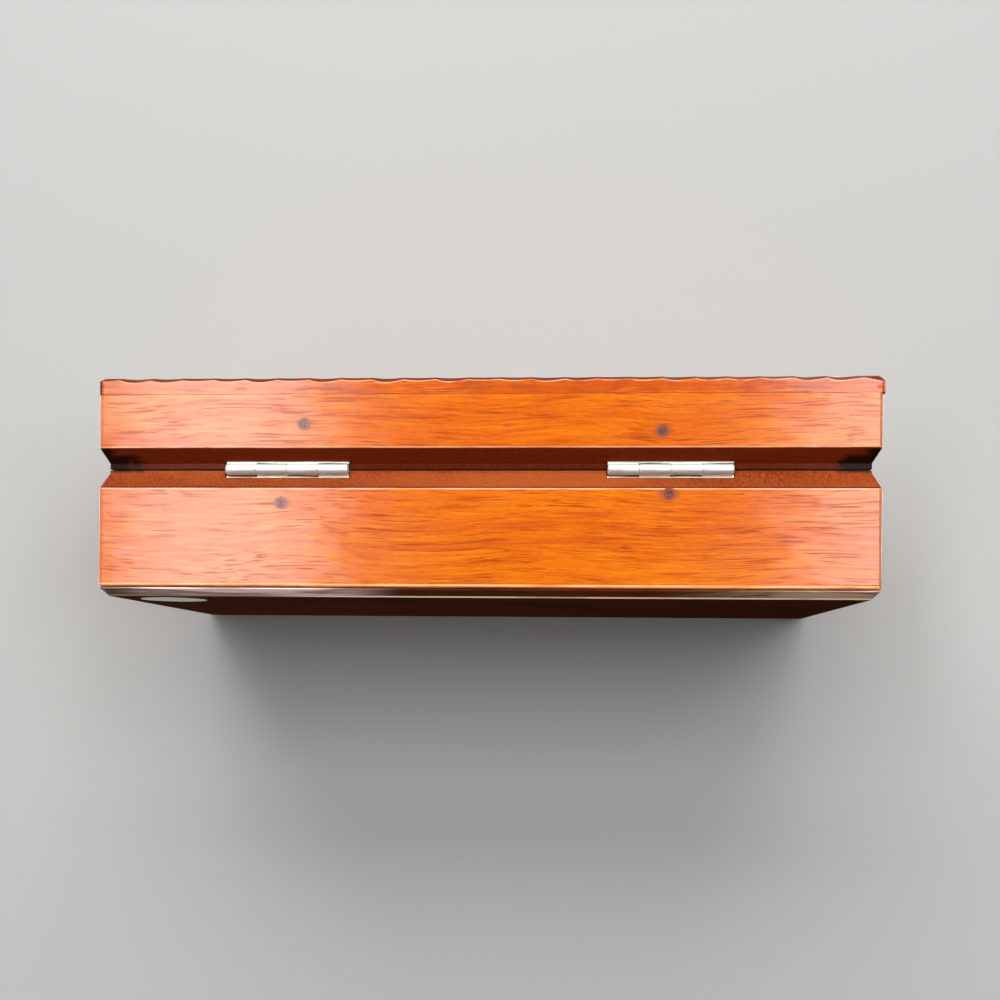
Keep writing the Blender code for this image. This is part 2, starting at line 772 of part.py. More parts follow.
def field_loop(inset):
    """The field's outline moved inwards, with a hollow arc in each corner."""
    half_x, half_y = field_half()
    radius = FIELD_CORNER + inset
    first = math.asin(inset / radius)
    step = (math.pi / 2 - 2 * first) / FIELD_CORNER_STEPS
    turns = [first + step * i for i in range(FIELD_CORNER_STEPS + 1)]
    points = []
    for sx, sy, forward in ((1, -1, True), (1, 1, False), (-1, 1, True), (-1, -1, False)):
        arc = [(sx * (half_x - radius * math.cos(t)), sy * (half_y - radius * math.sin(t))) for t in turns]
        points += arc if forward else arc[::-1]
    return points


def carving_lines(leaves):
    loops = [lid_outline(), border_loop(), field_loop(0), field_loop(FIELD_SLOPE)] + button_lines()
    lines = stem_lines()
    for leaf in leaves:
        loop, inner = leaf_lines(leaf)
        loops.append(loop)
        lines += inner
    return loops, lines


def triangulate(loops, lines):
    """Triangles in the plane that follow every loop and line, inside the outermost loop."""
    points = []
    edges = []
    for line, closed in [(loop, True) for loop in loops] + [(line, False) for line in lines]:
        first = len(points)
        points += [Vector(point) for point in line]
        edges += [(first + i, first + i + 1) for i in range(len(line) - 1)]
        if closed:
            edges.append((len(points) - 1, first))
    flat_points, _, faces, *_ = delaunay_2d_cdt(points, edges, [], 1, 0.001 * MM)
    return flat_points, faces


def make_carved_board(material, parent):
    leaves = rosette_leaves() + spray_leaves() + fan_leaves()
    flat_points, faces = triangulate(*carving_lines(leaves))
    bm = bmesh.new()
    verts = [bm.verts.new((p.x, p.y, relief_height(p.x, p.y, leaves))) for p in flat_points]
    for face in faces:
        bm.faces.new([verts[i] for i in face])
    rim = [edge for edge in bm.edges if edge.is_boundary]
    skirt = bmesh.ops.extrude_edge_only(bm, edges=rim)["geom"]
    for vert in (item for item in skirt if isinstance(item, bmesh.types.BMVert)):
        vert.co.z = BOARD_BOTTOM
    bmesh.ops.holes_fill(bm, edges=[edge for edge in bm.edges if edge.is_boundary], sides=0)
    mesh = mesh_from("carved_lid_board", bm)
    return add_object("carved_lid_board", mesh, material, parent)


def main():
    clear_scene()
    wood = make_material("reddish orange lacquered wood", (0.62, 0.16, 0.03), 0.35)
    dark_wood = make_material("dark stained wood", (0.045, 0.014, 0.007), 0.55)
    metal = make_material("nickel plated steel", (0.78, 0.76, 0.7), 0.25, 1.0)
    filler = make_material("dull brown filler", (0.22, 0.1, 0.09), 0.6)
    parents = {
        "base": add_empty("base", (0, 0, 0)),
        "lid": add_empty("lid", (0, AXIS_Y, JOINT_HEIGHT)),
    }
    base_walls = make_walls("base", "wall", base_wall_profile(), wood, parents["base"])
    lid_rails = make_walls("lid", "rail", lid_rail_profile(), wood, parents["lid"])
    make_bottom_board(dark_wood, parents["base"])
    make_carved_board(wood, parents["lid"])
    boards = {"base": base_walls["back"], "lid": lid_rails["back"]}
    right_plugs = {"lid": RIGHT_LID_PLUG, "base": RIGHT_BASE_PLUG}
    left_plugs = {"lid": LEFT_LID_PLUG, "base": LEFT_BASE_PLUG}
    make_hinge("right", RIGHT_HINGE_X, boards, parents, right_plugs, metal, filler)
    make_hinge("left", LEFT_HINGE_X, boards, parents, left_plugs, metal, filler)


main()
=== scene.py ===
"""Looks of the carved wooden jewelry box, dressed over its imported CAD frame.

The box stands on its underside, with its front towards -Y and its hinged back towards +Y. The camera
looks at the back from a little below the underside. Lengths are in metres.
"""

import json
import math
from collections import namedtuple

import bmesh
import bpy
import numpy as np
from mathutils import Matrix, Vector
from mathutils.geometry import delaunay_2d_cdt


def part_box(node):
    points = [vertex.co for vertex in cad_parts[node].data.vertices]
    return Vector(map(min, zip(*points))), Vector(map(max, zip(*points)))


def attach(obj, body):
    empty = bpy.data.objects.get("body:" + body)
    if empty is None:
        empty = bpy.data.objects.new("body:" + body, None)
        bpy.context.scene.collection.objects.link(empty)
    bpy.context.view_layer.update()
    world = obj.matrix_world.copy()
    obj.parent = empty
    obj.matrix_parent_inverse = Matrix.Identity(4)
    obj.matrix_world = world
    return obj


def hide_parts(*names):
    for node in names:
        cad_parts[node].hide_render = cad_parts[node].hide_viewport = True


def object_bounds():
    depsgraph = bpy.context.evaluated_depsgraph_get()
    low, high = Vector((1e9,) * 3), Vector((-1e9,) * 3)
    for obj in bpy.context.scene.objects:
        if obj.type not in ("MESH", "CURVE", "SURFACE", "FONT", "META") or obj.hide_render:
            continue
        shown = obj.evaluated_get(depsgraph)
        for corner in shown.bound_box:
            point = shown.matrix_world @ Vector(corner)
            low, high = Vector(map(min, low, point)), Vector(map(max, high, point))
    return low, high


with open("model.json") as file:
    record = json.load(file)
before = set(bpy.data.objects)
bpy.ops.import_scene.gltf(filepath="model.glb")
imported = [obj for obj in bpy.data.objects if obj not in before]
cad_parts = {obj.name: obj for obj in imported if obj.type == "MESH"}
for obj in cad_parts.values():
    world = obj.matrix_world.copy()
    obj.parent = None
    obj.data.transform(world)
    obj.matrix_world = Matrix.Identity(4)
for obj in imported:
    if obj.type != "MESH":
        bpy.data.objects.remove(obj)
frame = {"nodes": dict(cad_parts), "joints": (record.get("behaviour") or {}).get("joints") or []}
cad_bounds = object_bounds()

MM = 0.001
TINY = 1e-9


def node_corners(node):
    """A node's lowest and highest corners, to a thousandth of a millimetre."""
    return [[round(value, 6) for value in corner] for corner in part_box(node)]


def node_place(node):
    """The X and Z of a node's middle."""
    low, high = node_corners(node)
    return round((low[0] + high[0]) / 2, 6), round((low[2] + high[2]) / 2, 6)


# Sizes read from the frame. Right and left are as seen from the front of the box.
SIDES = ("right", "left")
HALF_X, HALF_Y, BOX_HEIGHT = [round(value, 6) for value in cad_bounds[1]]
_, JOINT_Y, JOINT_Z = frame["joints"][0]["pos_m"]
WALL = HALF_Y - node_corners("base_back_wall")[0][1]
BOTTOM_TOP = node_corners("bottom_board")[1][2]
RAIL_TOP = node_corners("lid_back_rail")[1][2]
LEAF_LOW, LEAF_HIGH = node_corners("right_hinge_lid_leaf")

# The V groove at the joint
GROOVE_LOW = 27.85 * MM
GROOVE_HIGH = 38.15 * MM

# Hinges
HINGE_LENGTH = LEAF_HIGH[0] - LEAF_LOW[0]
KNUCKLES = 4
KNUCKLE_RADIUS = LEAF_HIGH[1] - JOINT_Y
KNUCKLE_SIDES = 40
KNUCKLE_GAP = 0.09 * MM
KNUCKLE_ROUNDING = 0.12 * MM
END_ROUNDING = 0.5 * MM
ROUNDING_STEPS = 5
BORE_RADIUS = 0.8 * MM
LEAF_FRONT = JOINT_Y - 0.6 * MM
LEAF_BACK = LEAF_LOW[1] + 0.02 * MM
LEAF_REACH = LEAF_HIGH[2] - JOINT_Z
LEAF_ROOT = 0.8 * MM
LEAF_ARRIS = 0.14 * MM
LEAF_STEPS = 12
LEAF_SHARP = 40
NOTCH = 1.62 * MM
NOTCH_WAVE = 0.1 * MM
NOTCH_WAVE_LENGTH = 2.3 * MM

# Filled pin holes. The profile gives shares of the radius, and depths below the face.
PLUG_RADIUS = 1.63 * MM
PLUG_SIDES = 40
PLUG_PROFILE = ((1, 1.6 * MM), (1, 0.03 * MM), (0.94, 0.024 * MM), (0.8, 0.028 * MM), (0.45, 0.036 * MM))
PLUG_SHARP = 50
PLUG_WOBBLE = 0.008
PLUG_UNEVENNESS = 0.015 * MM

# The sticker under the bottom board
STICKER_X = 84.6 * MM
STICKER_Y = 34.9 * MM
STICKER_RADIUS = 8.7 * MM
STICKER_THICKNESS = 0.06 * MM
STICKER_SIDES = 72
STICKER_SHARES = (1, 0.96, 0.8, 0.4)
STICKER_WOBBLE = 0.006

# Camera, fitted to the photograph's corners, edges and hinges
CAMERA_PLACE = Vector((-22.5, 369.2, -20.8)) * MM
CAMERA_YAW = 3.22
CAMERA_ROLL = 0.53
CAMERA_LENS = 45.31
CAMERA_SHIFT_Y = 0.1794

# Floor and backdrop
STAGE_SIZE = 0.8
STAGE_GAP = 0.2 * MM
FLOOR_SHADE = (0.4, 0.4, 0.39, 1)
BACKDROP_SHADE = (0.42, 0.42, 0.41, 1)

# The world: the grey that the camera sees, and the box's light, which grows between two heights
SEEN_SHADE = (0.6, 0.6, 0.58, 1)
LOWER_LIGHT = (0.012, 0.011, 0.01, 1)
UPPER_LIGHT = (0.27, 0.27, 0.26, 1)
LOWER_EDGE = -0.05
UPPER_EDGE = 0.7

# Light panels, all turned to the target: name, place, width and height, power in watts. The left and
# right back panels show as pale veils in the two ends of the back.
LIGHT_TARGET = (0, 0, 0.03)
PANELS = (
    ("left back panel", (0.355, 1.05, 0.2), (0.21, 0.65), 4.5),
    ("right back panel", (-0.455, 1.05, 0.2), (0.38, 0.65), 7.0),
    ("high back panel", (0.1, 1.0, 1.15), (1.5, 0.7), 24.5),
    ("top panel", (0.1, -0.1, 1.3), (1.2, 0.9), 10),
    ("front panel", (-0.7, -1.2, 0.6), (1.0, 1.0), 14),
    ("front fill", (0.9, -1.0, 0.4), (0.8, 1.0), 7),
    ("under panel", (0.8, -0.1, -0.7), (0.8, 0.8), 6.0),
)

# The carved lid board, finer than in the frame. It hangs down into the glue line, and stands out a
# little past the left rail.
BOARD_BOTTOM = RAIL_TOP + 0.08 * MM
CORNER_RADIUS = 1.2 * MM
CORNER_STEPS = 8
OVERHANG = 0.6 * MM
OVERHANG_REACH = 8 * MM
EDGE_REACH = 1.2 * MM
EDGE_STEP = 0.45 * MM
LINE_STEP = 1.0 * MM
SLOPE_STEP = 0.8 * MM
GROUND_STEP = 1.6 * MM
BOARD_SHARP = 38

SCALLOP_PITCH = 8.2 * MM
SCALLOP_DROP = 1.1 * MM
SCALLOP_DEPTH = 0.55 * MM
SCALLOP_RUN = 1.5 * MM
SCALLOP_REACH = 1.4 * MM
SCALLOP_LEAN = 0.75
SCALLOP_SHARE = 0.85
SCALLOP_JITTER = 0.5
RIM_FALL = 0.5 * MM
RIM_FALL_WIDTH = 5.5 * MM
BORDER_CURVE = 1.25
BORDER_HOLLOW = 0.8
CORNER_CUT_LENGTH = 5.7 * MM
CORNER_CUT_DEPTH = 1.0 * MM
RIGHT_CORNER_SHARE = 0.3
BORDER_RINGS = (0.12, 0.3, 0.52, 0.76, 1.0)
BACK_SEED, FRONT_SEED, END_SEED = 0, 1, 2

FIELD_MARGIN = 8.5 * MM
FIELD_DEPTH = 1.6 * MM
FIELD_SLOPE = 1.2 * MM
FIELD_RINGS = (0, 0.2, 0.5, 0.8, 1)
FIELD_HOLLOW = 0.85
FIELD_CORNER = 8 * MM
FIELD_CORNER_POINTS = 16
FIELD_X = HALF_X - FIELD_MARGIN
FIELD_Y = HALF_Y - FIELD_MARGIN
LINE_INSET = 6.4 * MM
LINE_WIDTH = 0.9 * MM
LINE_DEPTH = 0.45 * MM
GROUND_WAVE = 0.05 * MM
GROUND_LIMIT = 0.06 * MM
NICK_INSET = 3.2 * MM
NICK_LENGTH = 2.6 * MM
NICK_WIDTH = 1.5 * MM
NICK_DEPTH = 0.5 * MM
NICK_WOBBLE = 0.12
CUT_HOLLOW = 0.9
STEM_WIDTH = 1.8 * MM
STEM_POINTS = 60
STEM_LINES = (-1, -0.85, -0.5, 0, 0.5, 0.85, 1)
SPRAY_PAIRS = 6
FAN_LEAVES = 5
PETALS = 8

# The design in the field. Bare lengths are shares of the field's half depth. Those of the button are
# shares of its radius, and the spray leaves' width is a share of their pitch.
ROSETTE_RADIUS = 0.54 * FIELD_Y
SPRAY_LENGTH = 0.72
SPRAY_SHORTENING = 0.065
SPRAY_BEND = 0.045 * FIELD_Y
BUD_LENGTH = 0.34 * FIELD_Y
CORNER_FAN_LENGTH = 0.62
CORNER_FAN_SHORTENING = 0.05
CORNER_FAN_START = 0.13
SIDE_FAN_LENGTH = 0.3
SIDE_FAN_START = 0.06
SIDE_TENDRIL_LENGTH = 0.6
SIDE_TENDRIL_START = 0.1
SMALL_LEAF_WIDTH = 0.14
BUTTON_RADIUS = 0.25 * ROSETTE_RADIUS
BUTTON_SIDES = 48
BUTTON_RINGS = (1, 0.97, 0.88, 0.74, 0.62, 0.5)
BUTTON_INNER_RINGS = (0.35, 0.18)
BUTTON_GROOVE = 0.62
BUTTON_GROOVE_WIDTH = 0.12
BUTTON_GROOVE_DEPTH = 0.22 * MM
PETAL_START = 0.27 * ROSETTE_RADIUS
PETAL_LENGTH = 0.73 * ROSETTE_RADIUS
PETAL_WIDTH = 0.56 * ROSETTE_RADIUS
SEPAL_START = 0.74 * ROSETTE_RADIUS
SEPAL_LENGTH = 0.36 * ROSETTE_RADIUS
SEPAL_WIDTH = 0.2 * ROSETTE_RADIUS
SPRAY_START = 1.15 * ROSETTE_RADIUS
SPRAY_TIP = 0.79 * FIELD_X
SPRAY_LEAF_WIDTH = 0.82
SPRAY_ANGLE = 54
SPRAY_ANGLE_STEP = 2
CORNER_FAN_SPREAD = 74
SIDE_FAN_SPREAD = 100
SIDE_TENDRIL_ANGLE = 76

# The section of carved leaves and petals. Places across them are shares of the half width.
SHOULDER = 0.84
CREST = 0.5
SHOULDER_HEIGHT = 0.74
RIB_HEIGHT = 0.5
RIB_CURVE = 1.6
TAPER = 0.5
RIM_START = 0.9
RIB_HOLLOW = 1.2
VEIN_HOLLOW = 3
NARROW_LEAF = 4 * MM
LEAF_LINES = (0, 0.12, 0.3, CREST, 0.68, SHOULDER, 0.94)
NARROW_LEAF_LINES = (0, 0.16, CREST, SHOULDER)
PETAL_HEIGHT = 0.95
LEAF_HEIGHT = 0.9
STEM_HEIGHT = 0.6
STEM_HOLLOW = 0.3
VEIN_PITCH = 1.9 * MM
VEIN_DEPTH = 0.16
VEIN_SLANT = 1.2
PETAL_FLUTES = 3

# The four sides in order round the board: front, right, back and left, each with the corner it ends at
HALF_SIDES = (HALF_X, HALF_Y, HALF_X, HALF_Y)
CORNERS = ((1, -1), (1, 1), (-1, 1), (-1, -1))
SIDE_SEEDS = (FRONT_SEED, END_SEED, BACK_SEED, END_SEED)


# The carved lid board

# The kinds of cut leaf: height or depth, where it is widest, and how full it is
KINDS = {
    "leaf": (LEAF_HEIGHT * FIELD_DEPTH, 0.75, 0.9),
    "petal": (PETAL_HEIGHT * FIELD_DEPTH, 1.5, 0.6),
    "gouge cut": (NICK_DEPTH, 0.8, 0.9),
}
# One leaf, with its root at x and y. Its middle lies aside of its axis by its bend.
Leaf = namedtuple("Leaf", "kind x y angle length width bend height belly fullness")


def unit(value):
    return np.clip(value, 0, 1)


def wobble(seed, index):
    """A fixed number between -1 and 1 for each place of a repeated cut, as from an unsteady hand."""
    return 2 * ((math.sin(seed * 12.9898 + index * 78.233) * 43758.5453) % 1.0) - 1


def polar(x, y, degrees, distance):
    turn = math.radians(degrees)
    return x + distance * math.cos(turn), y + distance * math.sin(turn)


def cut_leaf(kind, x, y, degrees, length, width, bend=0.0):
    return Leaf(kind, x, y, math.radians(degrees), length, width, bend, *KINDS[kind])


def rosette_leaves():
    leaves = []
    for i in range(PETALS):
        turn = 360 / PETALS * i
        place = polar(0, 0, turn, PETAL_START)
        leaves.append(cut_leaf("petal", *place, turn, PETAL_LENGTH, PETAL_WIDTH))
        between = turn + 180 / PETALS
        place = polar(0, 0, between, SEPAL_START)
        leaves.append(cut_leaf("leaf", *place, between, SEPAL_LENGTH, SEPAL_WIDTH))
    return leaves


def spray_leaves():
    pitch = (SPRAY_TIP - SPRAY_START) / SPRAY_PAIRS
    width = SPRAY_LEAF_WIDTH * pitch
    leaves = []
    for facing, arm in ((1, 0), (-1, 180)):
        for i in range(SPRAY_PAIRS):
            length = FIELD_Y * (SPRAY_LENGTH - SPRAY_SHORTENING * i)
            for side in (facing, -facing):
                degrees = arm + side * (SPRAY_ANGLE - SPRAY_ANGLE_STEP * i)
                root = polar(facing * (SPRAY_START + i * pitch), 0, degrees, STEM_WIDTH / 2)
                leaves.append(cut_leaf("leaf", *root, degrees, length, width, -side * SPRAY_BEND))
        leaves.append(cut_leaf("leaf", facing * SPRAY_TIP, 0, arm, BUD_LENGTH, width))
    return leaves


def fan(x, y, facing, spreads, lengths, start):
    leaves = []
    for spread, length in zip(spreads, lengths):
        degrees = facing + spread
        place = polar(x, y, degrees, start * FIELD_Y)
        leaves.append(cut_leaf("leaf", *place, degrees, length * FIELD_Y, SMALL_LEAF_WIDTH * FIELD_Y))
    return leaves


def fan_leaves():
    inwards = (FIELD_CORNER + FIELD_SLOPE) * (math.sqrt(2) - 1) * math.sqrt(2)
    steps = [i / (FAN_LEAVES - 1) - 0.5 for i in range(FAN_LEAVES)]
    leaves = []
    for sx in (1, -1):
        for sy in (1, -1):
            middle = math.degrees(math.atan2(-sy, -sx))
            spreads = [sx * sy * CORNER_FAN_SPREAD * step for step in steps]
            lengths = [CORNER_FAN_LENGTH - CORNER_FAN_SHORTENING * i for i in range(FAN_LEAVES)]
            place = (sx * (FIELD_X - inwards), sy * (FIELD_Y - inwards))
            leaves += fan(*place, middle, spreads, lengths, CORNER_FAN_START)
    for sy in (1, -1):
        place = (0, sy * (FIELD_Y - FIELD_SLOPE))
        spreads = [SIDE_FAN_SPREAD * step for step in steps]
        leaves += fan(*place, -90 * sy, spreads, [SIDE_FAN_LENGTH] * FAN_LEAVES, SIDE_FAN_START)
        spreads = (-SIDE_TENDRIL_ANGLE, SIDE_TENDRIL_ANGLE)
        leaves += fan(*place, -90 * sy, spreads, [SIDE_TENDRIL_LENGTH] * 2, SIDE_TENDRIL_START)
    return leaves


def leaf_half_width(leaf, t):
    wave = np.sin(math.pi * unit(t) ** leaf.belly)
    return leaf.width / 2 * np.maximum(wave, 0) ** leaf.fullness


def leaf_lines(leaf):
    """The outline as a closed loop, then lines along the leaf, each as an array of points."""
    steps = np.linspace(0, 1, max(10, round(leaf.length / EDGE_STEP)))
    cos, sin = math.cos(leaf.angle), math.sin(leaf.angle)

    def line(q, t):
        aside = q * leaf_half_width(leaf, t) + leaf.bend * np.sin(math.pi * t)
        along = t * leaf.length
        return np.stack([leaf.x + along * cos - aside * sin, leaf.y + along * sin + aside * cos], 1)

    loop = np.concatenate([line(-1, steps), line(1, steps[-2:0:-1])])
    if leaf.kind == "gouge cut":
        shares = (0,)
    elif leaf.width < NARROW_LEAF:
        shares = NARROW_LEAF_LINES
    else:
        shares = LEAF_LINES
    return loop, [line(q, steps[1:-1]) for q in (*shares, *(-share for share in shares[1:]))]


def leaf_place(leaf, x, y):
    """How far places lie along a leaf as a share of its length, and how far aside of its bent middle."""
    cos, sin = math.cos(leaf.angle), math.sin(leaf.angle)
    t = ((x - leaf.x) * cos + (y - leaf.y) * sin) / leaf.length
    aside = (y - leaf.y) * cos - (x - leaf.x) * sin - leaf.bend * np.sin(math.pi * unit(t))
    return t, abs(aside)


def leaf_relief(leaf, x, y):
    """Height above the field's floor, and how hollow the surface is, at places on the lid."""
    t, aside = leaf_place(leaf, x, y)
    half = leaf_half_width(leaf, t)
    inside = (t > 0) & (t < 1) & (aside < half - TINY)
    q = np.where(inside, aside / np.maximum(half, TINY), 1.0)
    shoulder = SHOULDER_HEIGHT * unit((1 - q) / (1 - SHOULDER))
    crown = (1 - SHOULDER_HEIGHT) * np.sin(math.pi / 2 * unit((SHOULDER - q) / (SHOULDER - CREST)))
    dip = (1 - RIB_HEIGHT) * unit(1 - q / CREST) ** RIB_CURVE
    fade = np.sin(math.pi * unit(t)) * unit(q * (1 - q) * 6)
    if leaf.kind == "petal":
        cut = VEIN_DEPTH * abs(np.sin(math.pi * PETAL_FLUTES * q)) * unit(t * 3)
    else:
        phase = (t * leaf.length - VEIN_SLANT * aside) / VEIN_PITCH
        cut = VEIN_DEPTH * (1 - abs(2 * (phase % 1.0) - 1)) ** 2
    cut = cut * fade
    taper = unit(half / (TAPER * leaf.width / 2))
    height = leaf.height * (shoulder + crown - dip - cut) * taper
    rim = unit((q - RIM_START) / (1 - RIM_START))
    hollow = unit(dip * RIB_HOLLOW + cut * VEIN_HOLLOW + rim)
    return np.where(inside, np.maximum(height, 0), 0.0), np.where(inside, hollow, 0.0)


def scallops(half_side):
    """How many scallops one side has, and their pitch."""
    run = 2 * (half_side - CORNER_CUT_LENGTH)
    count = max(1, round(run / SCALLOP_PITCH))
    return count, run / count


def side_cut(seed, half_side, place, corner_cut=CORNER_CUT_DEPTH):
    """How far the border drops at the arris, and how far in it starts, at places along one side."""
    from_corner = half_side - abs(place)
    fade = 0.5 + 0.5 * np.cos(math.pi * unit(from_corner / CORNER_CUT_LENGTH))
    count, pitch = scallops(half_side)
    along = np.clip((place + half_side - CORNER_CUT_LENGTH) / pitch, 0, count - 1e-6)
    index = np.floor(along).astype(int)
    jitter = np.array([wobble(seed + 1, i) for i in range(count)])
    wave = np.sin(math.pi * (along - index) ** SCALLOP_LEAN)
    wave = np.maximum(wave, 0) * (SCALLOP_SHARE + SCALLOP_JITTER * jitter[index])
    at_corner = from_corner < CORNER_CUT_LENGTH
    wave = np.where(at_corner, 0, wave)
    drop = SCALLOP_DROP - RIM_FALL + SCALLOP_DEPTH * wave + corner_cut * np.where(at_corner, fade, 0)
    run = SCALLOP_RUN + SCALLOP_REACH * wave
    return drop, run


def border_drop(x, y):
    """How far the border is cut down, and its share from 0, where it starts, to 1 at the arris."""
    inset_x = HALF_X - abs(x)
    inset_y = HALF_Y - abs(y)
    corner_cut = CORNER_CUT_DEPTH * np.where(x > 0, RIGHT_CORNER_SHARE, 1)
    back = side_cut(BACK_SEED, HALF_X, -x, corner_cut)
    front = side_cut(FRONT_SEED, HALF_X, x, corner_cut)
    ends = side_cut(END_SEED, HALF_Y, np.sign(x + 1e-12) * y, corner_cut)
    drop, run = np.where(inset_y < inset_x, np.where(y > 0, back, front), ends)
    inset = np.maximum(np.minimum(inset_x, inset_y), 0)
    share = unit(1 - inset / run)
    fall = RIM_FALL * unit(1 - inset / RIM_FALL_WIDTH) ** 2
    return drop * share ** BORDER_CURVE + fall, share


def field_inset(x, y):
    away_x = FIELD_X - abs(x)
    away_y = FIELD_Y - abs(y)
    return np.minimum(np.minimum(away_x, away_y), np.hypot(away_x, away_y) - FIELD_CORNER)


def line_cut(x, y):
    """A V-shaped line round the rim, between the border and the field."""
    inset = np.minimum(HALF_X - abs(x), HALF_Y - abs(y))
    return LINE_DEPTH * unit(1 - abs(inset - LINE_INSET) / (LINE_WIDTH / 2))


def nicks():
    """Small leaf-shaped gouge cuts on the rim, one behind each crest of the border."""
    cuts = []
    for side, half_side, half_other in ((0, HALF_X, HALF_Y), (1, HALF_Y, HALF_X)):
        count, pitch = scallops(half_side)
        for facing in (1, -1):
            for i in range(count + 1):
                along = -half_side + CORNER_CUT_LENGTH + pitch * i
                if abs(along) > half_side - LINE_INSET:
                    continue
                out = facing * (half_other - NICK_INSET + NICK_LENGTH / 2)
                length = NICK_LENGTH * (1 + NICK_WOBBLE * wobble(7 + side, i))
                place = (out, along, 90 + 90 * facing) if side else (along, out, -90 * facing)
                cuts.append(cut_leaf("gouge cut", *place, length, NICK_WIDTH))
    return cuts


def nick_depth(cut, x, y):
    t, aside = leaf_place(cut, x, y)
    half = leaf_half_width(cut, t)
    inside = (t > 0) & (t < 1) & (aside < half)
    slope = 1 - aside / np.maximum(half, TINY)
    return np.where(inside, cut.height * slope * np.minimum(half / (cut.width / 4), 1), 0)


def button_relief(x, y):
    share = np.hypot(x, y) / BUTTON_RADIUS
    dome = PETAL_HEIGHT * FIELD_DEPTH * np.sqrt(unit(1 - share * share))
    groove = unit(1 - abs(share - BUTTON_GROOVE) / BUTTON_GROOVE_WIDTH)
    return np.where(share < 1, np.maximum(dome - BUTTON_GROOVE_DEPTH * groove, 0), 0)


def stem_relief(x, y):
    half = STEM_WIDTH / 2
    on = (abs(x) > ROSETTE_RADIUS) & (abs(x) < SPRAY_TIP) & (abs(y) < half)
    round_top = np.sqrt(unit(1 - (y / half) ** 2))
    return np.where(on, STEM_HEIGHT * FIELD_DEPTH * round_top, 0)


def near(leaf, x, y):
    reach = leaf.length + leaf.width
    return np.nonzero((abs(x - leaf.x) < reach) & (abs(y - leaf.y) < reach))[0]


def ground_wave(x, y):
    """The field's floor, left uneven by the gouge."""
    wave = np.sin(x / (1.7 * MM)) * np.sin(y / (1.3 * MM)) + np.sin((x + 2 * y) / (3.1 * MM))
    return np.minimum(GROUND_WAVE * wave, GROUND_LIMIT)


def surface(x, y, leaves, cuts):
    """The lid's height, and how hollow it is from 0 to 1, at every place."""
    sunk_share = unit(field_inset(x, y) / FIELD_SLOPE)
    sunk = FIELD_DEPTH * np.sin(math.pi / 2 * sunk_share)
    raised = np.maximum(button_relief(x, y), stem_relief(x, y))
    hollow = np.where(sunk_share > 0, FIELD_HOLLOW, 0.0)
    hollow = np.where(raised > 0.3 * MM, STEM_HOLLOW, hollow)
    for leaf in leaves:
        at = near(leaf, x, y)
        height, dark = leaf_relief(leaf, x[at], y[at])
        higher = height > raised[at]
        raised[at] = np.where(higher, height, raised[at])
        hollow[at] = np.where(higher, dark, hollow[at])
    low = np.where((sunk_share >= 1) & (raised < GROUND_WAVE), ground_wave(x, y), 0)
    z = BOX_HEIGHT - np.maximum(sunk - raised, 0) + low
    border, border_share = border_drop(x, y)
    line = np.where(sunk_share == 0, line_cut(x, y), 0)
    nick = np.zeros_like(x)
    for cut in cuts:
        at = near(cut, x, y)
        nick[at] = np.maximum(nick[at], nick_depth(cut, x[at], y[at]))
    z = z - np.maximum(np.maximum(border, line), nick)
    hollow = np.maximum(hollow, BORDER_HOLLOW * unit(border_share * 3))
    cut_share = np.maximum(line / LINE_DEPTH, nick / NICK_DEPTH)
    hollow = np.maximum(hollow, CUT_HOLLOW * unit(cut_share))
    return z, hollow


def stations(half_side, limit):
    count = 2 * max(1, round(half_side / EDGE_STEP))
    places = np.linspace(-half_side, half_side, count + 1)
    return places[abs(places) < limit]


def side_points(side, place, inset):
    """Points of one of the four sides, in order round the board, at an inset from its edge."""
    out = HALF_SIDES[side - 1] - inset
    return np.stack(((place, -out), (out, place), (-place, out), (-out, -place))[side], 1)


def outline_loop():
    """The board's outline, with round corners."""
    loops = []
    for side, (half_side, (sx, sy)) in enumerate(zip(HALF_SIDES, CORNERS)):
        place = stations(half_side, half_side - CORNER_RADIUS)
        loops.append(side_points(side, place, np.zeros_like(place)))
        turns = np.radians(90 * (side - 1 + np.linspace(0, 1, CORNER_STEPS + 1)))
        x = sx * (HALF_X - CORNER_RADIUS) + CORNER_RADIUS * np.cos(turns)
        y = sy * (HALF_Y - CORNER_RADIUS) + CORNER_RADIUS * np.sin(turns)
        loops.append(np.stack([x, y], 1))
    return np.concatenate(loops)


def border_loop(share):
    """A loop at a share of the way from the edge to where the gouge cuts end."""
    inset = SCALLOP_RUN * share
    loops = []
    for side, (half_side, (sx, sy)) in enumerate(zip(HALF_SIDES, CORNERS)):
        place = stations(half_side, half_side - inset)
        _, run = side_cut(SIDE_SEEDS[side], half_side, place)
        loops.append(side_points(side, place, run * share))
        loops.append(np.array([[sx * (HALF_X - inset), sy * (HALF_Y - inset)]]))
    return np.concatenate(loops)


def rectangle_loop(inset):
    loops = []
    for side, half_side in enumerate(HALF_SIDES):
        count = max(2, round(2 * half_side / LINE_STEP))
        place = np.linspace(-(half_side - inset), half_side - inset, count)[:-1]
        loops.append(side_points(side, place, np.full_like(place, inset)))
    return np.concatenate(loops)


